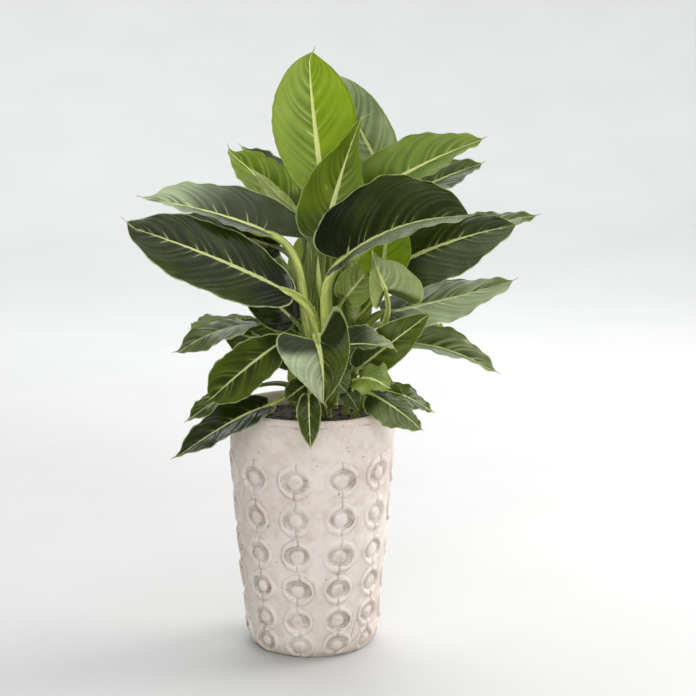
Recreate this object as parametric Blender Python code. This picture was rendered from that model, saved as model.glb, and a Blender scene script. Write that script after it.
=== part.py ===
"""Potted dieffenbachia: a bushy dumb cane growing in a tall, tapered clay pot.

Metres, +Z up. The origin is the centre of the pot's flat underside, and -Y is the plant's front.
Each leaf is one grown piece, a stalk and its blade, that springs from one of the canes. The leaf
table gives places and widths in millimetres and angles in degrees; everything else is in metres.
"""
import math

import bmesh
import bpy
import numpy as np

MM = 0.001
GAP = 0.0003                # clearance that touching pieces keep

# Pot: a tapered clay planter, turned about Z
POT_HEIGHT = 0.350
RIM_RADIUS = 0.120
FOOT_RADIUS = 0.0945        # where the wall meets the rounded foot
FOOT_ROUNDING = 0.016
FOOT_HEIGHT = 0.030
WALL = 0.010
FLOOR_THICKNESS = 0.022
POT_SIDES = 40

# Potting soil, filling the pot up to its watering space
SOIL_TOP = 0.327
SOIL_MOUND = 0.004          # how much the soil rises from the wall to the canes
SOCKET_DEPTH = 0.025        # how deep the canes are rooted
SOCKET_CLEARANCE = 0.0004

# Canes
CANE_SIDES = 16
CANE_RINGS = 4
SEAT_CLEARANCE = 0.0004     # from a cane's skin to the leaf stalk that it carries

# Leaf stalks and blades
STALK_STATIONS = (0, 0.12, 0.3, 0.5, 0.75)
BLADE_STATIONS = (0, 0.02, 0.06, 0.13, 0.23, 0.36, 0.50, 0.65, 0.79, 0.90, 0.97)
FACING_STATION = 6          # the station at which a leaf's "face" is given
BLADE_THICKNESS = 0.0010
LOBE_GAIN = 3.2             # brings the lobe's furthest reach to its stated share
RIB_SINK = 0.75             # how far the midrib stands out below, in stalk radii
STALK_RADIUS_LEAST = 0.0024
STALK_RADIUS_PER_WIDTH = 0.015
COLLAR_RADIUS = 0.65        # stalk radius at the blade, in base radii

# name: (foot x, y), (top x, y, z), radius, in millimetres
CANES = {
    "cane_main": ((22, -8), (18, -10, 438), 8.0),
    "cane_right": ((47, 12), (54, 12, 430), 7.0),
    "cane_left": ((-6, 34), (-14, 38, 440), 7.0),
    "cane_low_right": ((60, -24), (76, -32, 388), 6.5),
    "cane_low_left": ((-14, -26), (-28, -34, 398), 6.5),
    "cane_back": ((30, 52), (34, 66, 436), 7.5),
}

LEAF_HABIT = {
    "arch": (0.05, 0.05),   # bow of the midrib towards the upper face, at 1/3 and 2/3, in blade lengths
    "sweep": (0, 0),        # bow of the midrib to the blade's right
    "twist": 0,             # turn of the blade about its midrib, from collar to tip
    "fold": (10, 10),       # rise of the left and right halves from flat
    "curl": (-12, -12),     # further turn of each half from midrib to margin
    "lobe": (0.06, 0.06),   # how far the left and right base lobes reach back, in blade lengths
    "ear": 1.5,             # how far out on the base the lobes begin: more is farther out
    "base": 0.5,            # power of the widening from the collar
    "taper": 0.85,          # power of the narrowing to the tip
    "oblique": 0,           # share by which the left half is wider and the right half narrower
    "wave": 2.5,            # height of the margin's waves
    "phase": 0.0,           # where the waves start
    "rise": 65,             # slope of the stalk where it leaves the cane
    "reach": (0.4, 0.35),   # how straight the stalk leaves the cane and meets the blade
}


def leaf(name, cane, seat, collar, tip, width, face, **habit):
    """One row of the leaf table: seat is a height on the cane, or an (x, y) place on its top."""
    return dict(LEAF_HABIT, name=name, cane=cane, seat=seat, collar=collar, tip=tip,
                width=width, face=face, **habit)


LEAVES = [
    leaf("leaf_top", "cane_main", (2, 4), (16, 20, 644), (-2, 5, 852), 124, (0, -1, 0.1), base=0.85,
         taper=0.75, fold=(26, 22), sweep=(0, -0.03)),
    leaf("leaf_rolled", "cane_main", (-3, -4), (20, -22, 592), (76, -20, 768), 106, (-0.1, -1, 0.1),
         taper=1.3, lobe=(0.06, 0), fold=(0, 5), curl=(-10, 24), sweep=(-0.02, -0.03), twist=49),
    leaf("leaf_back_tall", "cane_back", (0, 0), (108, 95, 658), (24, 80, 819), 86, (0.1, -1, 0.1),
         base=0.6, taper=0.7),
    leaf("leaf_upper_right", "cane_right", (0, 0), (98, 35, 652), (249, 30, 725), 112,
         (-0.3, -0.5, 0.8), fold=(34, 22), lobe=(0.35, 0.1), base=0.35, taper=0.9),
    leaf("leaf_far_right", "cane_back", 425, (128, 110, 631), (256, 150, 683), 85, (0, -0.45, 0.9),
         fold=(20, 20)),
    leaf("leaf_upper_left", "cane_left", (0, 0), (-30, 66, 616), (-128, 84, 708), 92,
         (0.5, -0.65, 0.55), fold=(20, 20)),
    leaf("leaf_upper_left_back", "cane_left", 430, (-12, 112, 633), (-112, 146, 710), 62,
         (0.4, -0.6, 0.7), fold=(15, 15)),
    leaf("leaf_pale_back", "cane_left", 428, (-24, 40, 618), (-86, 56, 681), 22, (-0.2, 1, -0.3)),
    leaf("leaf_shade_upper", "cane_left", 418, (-18, 20, 600), (-115, 18, 655), 43, (0.1, -0.3, 0.95),
         fold=(12, 15), lobe=(0, 0), base=0.7),
    leaf("leaf_dark_front", "cane_main", 419, (44, -95, 566), (219, -145, 630), 160,
         (-0.1, -0.35, 0.95), arch=(0.13, 0.13), fold=(42, 18), lobe=(0.14, 0.08), base=0.4, taper=0.75,
         oblique=0.1),
    leaf("leaf_long_left", "cane_main", 424, (-54, -35, 595), (-239, -50, 647), 110, (0.1, -0.2, 0.95),
         fold=(14, 35), lobe=(0.03, 0.35), oblique=-0.15, taper=0.9),
    leaf("leaf_big_left", "cane_main", 403, (-25, -92, 520), (-253, -130, 619), 115, (0.1, -0.7, 0.7),
         base=0.65, taper=0.65, fold=(3, 3), curl=(-8, -8)),
    leaf("leaf_mid_left", "cane_left", 404, (-48, 6, 572), (-218, 10, 608), 84, (0.1, -0.6, 0.8)),
    leaf("leaf_shade_left", "cane_main", 386, (-24, -13, 471), (-102, 17, 537), 71, (0.1, -1, 0.3)),
    leaf("leaf_curl_left", "cane_low_left", (0, 0), (-74, -12, 466), (-192, -30, 423), 66, (-0.3, 0, 1),
         arch=(0.12, 0.12), fold=(10, 5), twist=60),
    leaf("leaf_low_left_back", "cane_left", 380, (-55, 15, 432), (-133, 30, 451), 72, (0, -0.7, 0.7)),
    leaf("leaf_broad_left", "cane_low_left", 385, (-36, -95, 457), (-138, -120, 376), 76,
         (-0.35, -0.75, 0.45), base=0.6, taper=0.45),
    leaf("leaf_under_left", "cane_left", 366, (-12, -4, 416), (-88, -6, 455), 58, (-0.1, -0.9, 0.4)),
    leaf("leaf_front_hanging", "cane_main", 387, (10, -125, 462), (18, -165, 377), 100, (0, -0.9, 0.4),
         sweep=(-0.06, -0.06), lobe=(0.19, 0.1), reach=(0.5, 0.14), fold=(20, 25), curl=(-15, -30),
         oblique=-0.12, ear=5, base=0.2, taper=1.0),
    leaf("leaf_right_small", "cane_main", 372, (38, -100, 449), (120, -110, 448), 62, (0, -0.5, 0.85),
         arch=(0.08, 0.08), fold=(30, 35), taper=1.1),
    leaf("leaf_silver_right", "cane_right", 397, (103, -26, 484), (288, -48, 534), 110,
         (-0.2, -0.4, 0.9), arch=(-0.02, -0.02), fold=(3, 3), lobe=(0.06, 0.06)),
    leaf("leaf_big_right", "cane_right", 418, (108, -10, 543), (294, -20, 608), 120, (-0.25, -0.7, 0.7),
         fold=(2, 2), sweep=(-0.04, -0.03)),
    leaf("leaf_far_tip_right", "cane_back", 410, (185, 70, 576), (332, 90, 610), 70, (0, -0.4, 0.9)),
    leaf("leaf_bright_back", "cane_back", 412, (98, -52, 540), (110, -58, 640), 72, (0, -1, 0.1)),
    leaf("leaf_curly", "cane_right", 380, (102, -88, 522), (82, -99, 583), 80, (-0.2, -1, 0.2),
         fold=(60, -10), lobe=(0.1, 0.3), oblique=-0.25, base=0.35, taper=1.6, wave=5),
    leaf("leaf_centre_pale", "cane_right", 366, (46, -34, 504), (92, -30, 560), 52, (0, -1, 0.2)),
    leaf("leaf_right_mid", "cane_low_right", (0, 0), (66, -76, 414), (168, -88, 496), 56,
         (0.1, -0.9, 0.4)),
    leaf("leaf_right_low", "cane_low_right", 378, (114, 0, 437), (264, -40, 398), 90, (0.1, -0.35, 0.9),
         arch=(0.12, 0.12), fold=(20, 28)),
    leaf("leaf_curled_young", "cane_low_right", 370, (66, -104, 405), (110, -132, 395), 62,
         (0, -0.6, 0.8), arch=(0.2, 0.2), wave=5),
    leaf("leaf_low_right_back", "cane_right", 365, (76, 2, 374), (132, -12, 363), 46, (0, -0.6, 0.8)),
    leaf("leaf_thin_right", "cane_right", 352, (98, 30, 366), (177, 40, 326), 48, (0.3, -0.5, 0.8),
         arch=(0.1, 0.1)),
    leaf("leaf_low_right", "cane_low_right", 350, (84, -72, 378), (155, -110, 332), 62,
         (0.2, -0.6, 0.7), fold=(-15, -15), arch=(0.08, 0.08)),
    leaf("leaf_low_centre", "cane_main", 352, (48, -48, 378), (67, -66, 352), 30, (0, -0.8, 0.6)),
    leaf("leaf_low_left", "cane_low_left", 356, (-58, -95, 366), (-187, -140, 299), 68,
         (-0.2, -0.5, 0.8), arch=(0.08, 0.04), fold=(19, 19)),
    leaf("leaf_thin_left", "cane_left", 352, (-100, -10, 370), (-178, -40, 329), 50, (-0.2, -0.5, 0.8),
         arch=(0.1, 0.1)),
    leaf("leaf_front_small", "cane_main", 337, (-1, -142, 390), (2, -165, 320), 34, (-0.2, -1, 0.3),
         rise=35),
    leaf("leaf_stem_left", "cane_low_left", 368, (-6, -78, 392), (-36, -86, 370), 38,
         (-0.2, -0.8, 0.6)),
    leaf("leaf_little_round", "cane_main", 350, (26, -70, 408), (50, -96, 383), 46, (0, -0.9, 0.4)),
    # the back of the plant
    leaf("leaf_rear_high", "cane_back", 432, (40, 130, 590), (70, 250, 680), 120, (0, -0.4, 0.9)),
    leaf("leaf_rear_left_high", "cane_left", 422, (-66, 116, 560), (-188, 200, 610), 108, (0, 0.2, 1)),
    leaf("leaf_rear_right_high", "cane_back", 396, (110, 140, 540), (230, 225, 590), 115, (0, 0.2, 1)),
    leaf("leaf_rear_centre", "cane_back", 404, (20, 108, 480), (6, 148, 604), 112, (0.1, -1, 0.2),
         arch=(0.08, 0.06), fold=(14, 8), phase=0.3),
    leaf("leaf_rear_left_low", "cane_left", 385, (-80, 90, 455), (-190, 160, 430), 100, (0, 0.3, 1)),
    leaf("leaf_rear_right_low", "cane_back", 376, (104, 100, 450), (200, 170, 420), 96, (0, 0.3, 1)),
    leaf("leaf_rear_low", "cane_back", 372, (20, 120, 420), (0, 215, 370), 90, (0, 0.5, 1)),
]

# The newest leaf, still rolled into a spear: place on the cane's top, point, radius, in millimetres
SPEAR = {"cane": "cane_main", "seat": (6, -6), "tip": (10, -46, 566), "radius": 4.2}
SPEAR_SHAPE = ((0, 0.75), (0.2, 0.8), (0.45, 0.9), (0.7, 1.0), (0.85, 0.85), (0.94, 0.5))

# Colours as they look on the object
CLAY = (0.66, 0.59, 0.54)
EARTH = (0.06, 0.04, 0.03)
CANE_GREEN = (0.33, 0.42, 0.14)
LEAF_GREEN = (0.06, 0.13, 0.03)
SPEAR_GREEN = (0.42, 0.52, 0.15)


def clear_scene():
    for item in list(bpy.data.objects):
        bpy.data.objects.remove(item, do_unlink=True)


def material(name, colour, roughness):
    finish = bpy.data.materials.new(name)
    finish.use_nodes = True
    shader = finish.node_tree.nodes["Principled BSDF"]
    shader.inputs["Base Color"].default_value = (*colour, 1)
    shader.inputs["Roughness"].default_value = roughness
    shader.inputs["Metallic"].default_value = 0
    return finish


def new_object(name, vertices, faces, finish):
    mesh = bpy.data.meshes.new(name)
    mesh.from_pydata([tuple(map(float, v)) for v in vertices], [], faces)
    work = bmesh.new()
    work.from_mesh(mesh)
    bmesh.ops.recalc_face_normals(work, faces=work.faces)
    work.to_mesh(mesh)
    work.free()
    mesh.shade_smooth()
    piece = bpy.data.objects.new(name, mesh)
    bpy.context.scene.collection.objects.link(piece)
    piece.data.materials.append(finish)
    return piece


def loft(rings, tip=None, flat=False):
    """Vertices and faces of a tube through equal rings, capped flat or brought to a point. A flat tube's
    sides are cut into triangles alike above and below, so that its two skins never cross."""
    count = len(rings[0])
    vertices = [point for ring in rings for point in ring]
    faces = [tuple(range(count))]
    for row in range(len(rings) - 1):
        for i in range(count):
            j = (i + 1) % count
            low, high = row * count, (row + 1) * count
            a, b, c, d = low + i, low + j, high + j, high + i
            if not flat:
                faces.append((a, b, c, d))
            elif i < count // 2:
                faces += [(a, b, c), (a, c, d)]
            else:
                faces += [(a, b, d), (b, c, d)]
    last = (len(rings) - 1) * count
    if tip is None:
        faces.append(tuple(range(last, last + count)))
    else:
        vertices.append(tip)
        faces.extend((last + i, last + (i + 1) % count, len(vertices) - 1) for i in range(count))
    return vertices, faces


def turned(name, profile, sides, finish):
    """A solid of revolution from (radius, height) points that start and end on the axis."""
    rings = []
    for radius, height in profile[1:-1]:
        angles = [2 * math.pi * i / sides for i in range(sides)]
        rings.append([(radius * math.cos(a), radius * math.sin(a), height) for a in angles])
    vertices, faces = loft(rings)
    first, last = len(vertices), len(vertices) + 1
    vertices += [(0, 0, profile[0][1]), (0, 0, profile[-1][1])]
    rim = (len(rings) - 1) * sides
    fans = [(i, (i + 1) % sides, first) for i in range(sides)]
    fans += [(rim + i, rim + (i + 1) % sides, last) for i in range(sides)]
    sides_only = [f for f in faces if len(f) == 4]
    return new_object(name, vertices, sides_only + fans, finish)


def pot_radius(height):
    """Outer radius of the pot's wall above its rounded foot: a straight taper that eases at the rim."""
    rise = (height - FOOT_HEIGHT) / (POT_HEIGHT - FOOT_HEIGHT)
    return FOOT_RADIUS + (RIM_RADIUS - FOOT_RADIUS) * (1.24 * rise - 0.24 * rise ** 3)


def make_pot(finish):
    flat = FOOT_RADIUS - FOOT_ROUNDING * 0.75
    profile = [(0, 0), (flat, 0)]
    for step in (30, 60, 90):
        angle = math.radians(step)
        lift = FOOT_ROUNDING * (1 - math.cos(angle))
        profile.append((flat + FOOT_ROUNDING * 0.6 * math.sin(angle), lift))
    heights = np.linspace(FOOT_HEIGHT, POT_HEIGHT - 0.005, 8)
    profile += [(pot_radius(z), z) for z in heights]
    lip = RIM_RADIUS - WALL / 2
    for step in (60, 120):
        angle = math.radians(step)
        profile.append((lip + WALL / 2 * math.cos(angle), POT_HEIGHT - 0.005 + 0.005 * math.sin(angle)))
    profile += [(pot_radius(z) - WALL, z) for z in heights[::-1]]
    profile.append((FOOT_RADIUS - WALL - 0.008, FLOOR_THICKNESS))
    profile.append((0, FLOOR_THICKNESS))
    return turned("pot", profile, POT_SIDES, finish)


def make_soil(finish):
    floor = FLOOR_THICKNESS + GAP
    heights = np.linspace(FOOT_HEIGHT, POT_HEIGHT - 0.005, 8)
    wall = [(pot_radius(z) - WALL - GAP - 0.0001, z) for z in heights if z < SOIL_TOP - 0.01]
    edge = (pot_radius(SOIL_TOP) - WALL - 2 * GAP, SOIL_TOP)
    mound = [(radius, SOIL_TOP + SOIL_MOUND * (1 - (radius / edge[0]) ** 2)) for radius in (0.09, 0.06, 0.03)]
    foot = (FOOT_RADIUS - WALL - 0.008 - GAP, floor)
    profile = [(0, floor), foot, *wall, edge, *mound, (0, SOIL_TOP + SOIL_MOUND)]
    soil = turned("soil", profile, POT_SIDES, finish)
    for name in CANES:
        cutter = cane_solid(name + "_socket", CANES[name], SOCKET_CLEARANCE, None)
        cutter.hide_render = True
        cutter.display_type = "WIRE"
        cut = soil.modifiers.new(name, "BOOLEAN")
        cut.operation = "DIFFERENCE"
        cut.solver = "EXACT"
        cut.object = cutter
    return soil


def cane_axis(cane, height):
    """A point on a cane's axis."""
    foot, top, _ = cane
    low = np.array([*foot, SOIL_TOP / MM]) * MM
    high = np.array(top) * MM
    return low + (high - low) * (height - low[2]) / (high[2] - low[2])


def cane_solid(name, cane, margin, finish):
    radius = cane[2] * MM + margin
    bottom = SOIL_TOP - SOCKET_DEPTH - margin
    top = cane[1][2] * MM + margin
    rings = []
    for height in np.linspace(bottom, top, CANE_RINGS):
        centre = cane_axis(cane, height)
        angles = [2 * math.pi * i / CANE_SIDES for i in range(CANE_SIDES)]
        rings.append([centre + radius * np.array([math.cos(a), math.sin(a), 0]) for a in angles])
    vertices, faces = loft(rings)
    if finish is None:
        finish = material(name, CANE_GREEN, 0.5)
    return new_object(name, vertices, faces, finish)


def unit(vector):
    return vector / np.linalg.norm(vector)


def bezier(points, steps):
    """Places and directions along a cubic curve."""
    a, b, c, d = (np.asarray(p, float) for p in points)
    s = np.asarray(steps, float)[:, None]
    places = (1 - s) ** 3 * a + 3 * s * (1 - s) ** 2 * b + 3 * s ** 2 * (1 - s) * c + s ** 3 * d
    slopes = (1 - s) ** 2 * (b - a) + 2 * s * (1 - s) * (c - b) + s ** 2 * (d - c)
    return places, slopes / np.linalg.norm(slopes, axis=1)[:, None]


def carried(normal, tangents):
    """A normal carried along a curve without turning about it."""
    normals = []
    for tangent in tangents:
        normal = unit(normal - tangent * (normal @ tangent))
        normals.append(normal)
    return normals


def leaf_spine(row):
    """Curves of a leaf's stalk and midrib, with the upper-face direction at each station."""
    collar, tip = np.array(row["collar"]) * MM, np.array(row["tip"]) * MM
    length = np.linalg.norm(tip - collar)
    along = unit(tip - collar)
    face = np.array(row["face"], float)
    face = unit(face - along * (face @ along))
    right = np.cross(along, face)
    thirds = [collar + along * length * part + face * arch * length + right * sweep * length
              for part, arch, sweep in zip((1 / 3, 2 / 3), row["arch"], row["sweep"])]
    blade, blade_dirs = bezier((collar, *thirds, tip), BLADE_STATIONS)

    stalk_radius = STALK_RADIUS_LEAST + STALK_RADIUS_PER_WIDTH * row["width"] * MM
    seat, leave = stalk_seat(row, collar, stalk_radius)
    distance = np.linalg.norm(collar - seat)
    out, back = row["reach"]
    stalk, stalk_dirs = bezier((seat, seat + leave * out * distance,
                                collar - blade_dirs[0] * back * distance, collar), STALK_STATIONS)
    to_tip = carried(face, blade_dirs[FACING_STATION:])
    to_seat = carried(face, [*blade_dirs[FACING_STATION::-1], *stalk_dirs[::-1]])[1:]
    normals = [*to_seat[::-1], *to_tip]
    return stalk, stalk_dirs, blade, blade_dirs, np.array(normals), stalk_radius, length


def stalk_seat(row, collar, stalk_radius):
    """Where the stalk starts on its cane, and the direction in which it leaves."""
    cane = CANES[row["cane"]]
    if isinstance(row["seat"], tuple):
        centre = np.array(cane[1]) * MM
        return centre + np.array([*row["seat"], 0]) * MM + np.array([0, 0, GAP]), np.array([0, 0, 1.0])
    centre = cane_axis(cane, row["seat"] * MM)
    out = collar - centre
    out[2] = 0
    out = unit(out)
    slope = math.radians(row["rise"])
    leave = out * math.cos(slope) + np.array([0, 0, math.sin(slope)])
    stand_off = cane[2] * MM + SEAT_CLEARANCE + stalk_radius * math.sin(slope)
    return centre + out * stand_off, leave


def half_width(row, s):
    """Half the blade's width at a share of its length: a rounded base and a drawn-out tip."""
    base, taper = row["base"], row["taper"]
    widest = base / (base + taper)
    peak = widest ** base * (1 - widest) ** taper
    return row["width"] * MM / 2 * s ** base * (1 - s) ** taper / peak


def blade_point(row, s, u, place, tangent, normal, length):
    """A point of the upper surface, u from -1 at the left margin to 1 at the right, and its normal."""
    side = 0 if u < 0 else 1
    sign = -1 if u < 0 else 1
    turn = math.radians(row["twist"]) * s
    right = np.cross(tangent, normal)
    right, up = (right * math.cos(turn) + normal * math.sin(turn),
                 normal * math.cos(turn) - right * math.sin(turn))
    half = half_width(row, s) * (1 - sign * row["oblique"])
    fold, curl = math.radians(row["fold"][side]), math.radians(row["curl"][side])
    middle = fold + curl * abs(u) / 2
    span = half * abs(u)
    wave = row["wave"] * MM * math.sin(2 * math.pi * (2.6 * s + row["phase"] + 0.37 * side))
    lift = span * math.sin(middle) + wave * u * u * min(1, half / (10 * MM))
    fullness = 2 * half_width(row, s) / (row["width"] * MM)
    back = row["lobe"][side] * length * LOBE_GAIN * fullness * abs(u) ** row["ear"] * (1 - s) ** 5
    point = place + right * sign * span * math.cos(middle) + up * lift - tangent * back
    tilt = fold + curl * abs(u)
    return point, up * math.cos(tilt) - right * sign * math.sin(tilt)


def leaf_rings(row):
    """Eight-sided rings of a whole leaf: round along the stalk, then flat along the blade."""
    stalk, stalk_dirs, blade, blade_dirs, normals, stalk_radius, length = leaf_spine(row)
    rings = []
    collar_radius = stalk_radius * COLLAR_RADIUS
    for i, t in enumerate((*STALK_STATIONS, 1)):
        place = stalk[i] if t < 1 else blade[0]
        tangent = stalk_dirs[i] if t < 1 else blade_dirs[0]
        radius = stalk_radius + (collar_radius - stalk_radius) * t
        right = np.cross(tangent, normals[i])
        angles = [math.radians(180 - 45 * k) for k in range(8)]
        rings.append([place + radius * (right * math.cos(a) + normals[i] * math.sin(a)) for a in angles])
    for i, s in enumerate(BLADE_STATIONS[1:], 1):
        frame = (blade[i], blade_dirs[i], normals[len(STALK_STATIONS) + i], length)
        half = half_width(row, s)
        rib = max(collar_radius * 2 * (1 - s) * RIB_SINK, BLADE_THICKNESS)
        skin = min(BLADE_THICKNESS, half / 4)
        upper = [blade_point(row, s, u, *frame) for u in (-1, -0.5, 0, 0.5, 1)]
        lower = [(upper[k][0] - upper[k][1] * depth) for k, depth in ((3, skin), (2, rib), (1, skin))]
        rings.append([point for point, _ in upper] + lower)
    return rings, np.array(row["tip"]) * MM


def make_spear(finish):
    """A rolled leaf: a slim round bud along a gently leaning line, drawn out to a point."""
    top = np.array(CANES[SPEAR["cane"]][1]) * MM
    foot = top + np.array([*SPEAR["seat"], 0]) * MM + np.array([0, 0, GAP])
    tip = np.array(SPEAR["tip"]) * MM
    upright = np.array([0, 0, np.linalg.norm(tip - foot) * 0.5])
    places, tangents = bezier((foot, foot + upright, tip - upright, tip), [s for s, _ in SPEAR_SHAPE])
    normals = carried(np.array([0, -1.0, 0]), tangents)
    rings = []
    for place, tangent, normal, (_, share) in zip(places, tangents, normals, SPEAR_SHAPE):
        right = np.cross(tangent, normal)
        angles = [math.radians(45 * k) for k in range(8)]
        radius = SPEAR["radius"] * MM * share
        rings.append([place + radius * (right * math.cos(a) + normal * math.sin(a)) for a in angles])
    vertices, faces = loft(rings, tip)
    return new_object("spear", vertices, faces, finish)


def make_leaf(row, finish):
    vertices, faces = loft(*leaf_rings(row), flat=True)
    return new_object(row["name"], vertices, faces, finish)


def main():
    clear_scene()
    make_pot(material("fired_clay", CLAY, 0.85))
    make_soil(material("potting_soil", EARTH, 0.95))
    for name, cane in CANES.items():
        cane_solid(name, cane, 0, material(name, CANE_GREEN, 0.5))
    for row in LEAVES:
        make_leaf(row, material(row["name"], LEAF_GREEN, 0.4))
    make_spear(material("spear", SPEAR_GREEN, 0.45))


main()
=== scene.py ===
"""Potted dieffenbachia: the looks of a bushy dumb cane in a tall, tapered clay pot.

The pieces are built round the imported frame, in metres, +Z up, with -Y as the plant's front. The
leaf table holds each leaf's place in millimetres, as the frame has it, and the habit that shapes
its blade.
"""
import math
import random
from collections import namedtuple

import bmesh
import bpy
import numpy as np
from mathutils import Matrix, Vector, noise


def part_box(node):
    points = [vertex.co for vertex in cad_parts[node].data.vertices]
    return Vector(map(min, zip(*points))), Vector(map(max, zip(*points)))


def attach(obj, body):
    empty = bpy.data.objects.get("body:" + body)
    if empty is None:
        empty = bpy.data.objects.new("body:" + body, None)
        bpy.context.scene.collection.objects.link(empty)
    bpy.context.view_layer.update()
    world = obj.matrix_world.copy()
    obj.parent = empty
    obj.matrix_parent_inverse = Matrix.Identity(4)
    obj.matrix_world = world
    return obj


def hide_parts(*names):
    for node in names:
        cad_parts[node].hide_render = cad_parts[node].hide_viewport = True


bl_info = {
    "name": "Potted Dieffenbachia",
    "version": (1, 0, 0),
    "blender": (4, 5, 0),
    "location": "3D Viewport > Sidebar > Dieffenbachia",
    "description": "Builds a dumb cane in a clay pot: pot, soil, canes, leaves, spear and studio",
    "category": "Add Mesh",
}

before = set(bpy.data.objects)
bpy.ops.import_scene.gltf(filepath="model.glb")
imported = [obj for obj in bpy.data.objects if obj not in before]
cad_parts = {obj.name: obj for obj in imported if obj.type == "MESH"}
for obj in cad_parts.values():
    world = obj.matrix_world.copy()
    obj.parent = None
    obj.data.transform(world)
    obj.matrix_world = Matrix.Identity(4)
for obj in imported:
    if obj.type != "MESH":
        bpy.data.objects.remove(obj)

MM = 0.001
RIM_RADIUS, _, POT_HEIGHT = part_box("pot")[1]
SOIL_RADIUS, _, SOIL_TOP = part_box("soil")[1]

# Canes: (foot x, y), (top x, y, z), radius, in millimetres
CANES = {
    "main": ((22, -8), (18, -10, 438), 8.0),
    "right": ((47, 12), (54, 12, 430), 7.0),
    "left": ((-6, 34), (-14, 38, 440), 7.0),
    "low_right": ((60, -24), (76, -32, 388), 6.5),
    "low_left": ((-14, -26), (-28, -34, 398), 6.5),
    "back": ((30, 52), (34, 66, 436), 7.5),
}
CANE_ROOT = 0.327           # height at which the canes' feet are given
SPEAR = {"cane": "main", "seat": (6, -6), "tip": (10, -46, 566), "radius": 4.2}

LEAF_HABIT = {
    "arch": (0.05, 0.05),   # bow of the midrib to the upper face, at 1/3 and 2/3, in blade lengths
    "sweep": (0, 0),        # bow of the midrib to the blade's right
    "twist": 0,             # turn of the blade about its midrib, from collar to tip
    "fold": (10, 10),       # rise of the left and right halves from flat
    "curl": (-12, -12),     # further turn of each half from midrib to margin
    "lobe": (0.06, 0.06),   # how far the left and right base lobes reach back, in blade lengths
    "ear": 1.5,             # power by which the lobes are kept to the margins
    "base": 0.5,            # power of the widening from the collar
    "taper": 0.85,          # power of the narrowing to the tip
    "oblique": 0,           # share by which the left half is wider and the right half narrower
    "wave": 2.5,            # height of the margin's waves
    "phase": 0.0,           # where the waves start
    "rise": 65,             # slope of the stalk where it leaves the cane
    "reach": (0.4, 0.35),   # how straight the stalk leaves the cane and meets the blade
    "tone": "green",        # which leaf finish it has
    "hook": (3, 0),         # turn of the drawn-out tip: towards the upper face, and to the right
    "relief": 1.0,          # depth of the quilting between the veins
    "bloom": (0, 0),        # painted sheen on each half where positive, painted shade where negative
}


def leaf(name, cane, seat, collar, tip, width, face, **habit):
    """One row of the leaf table: seat is a height on the cane, or an (x, y) place on its top."""
    return dict(LEAF_HABIT, name=name, cane=cane, seat=seat, collar=collar, tip=tip,
                width=width, face=face, seed=0.7 * (collar[0] + width), **habit)


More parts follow.
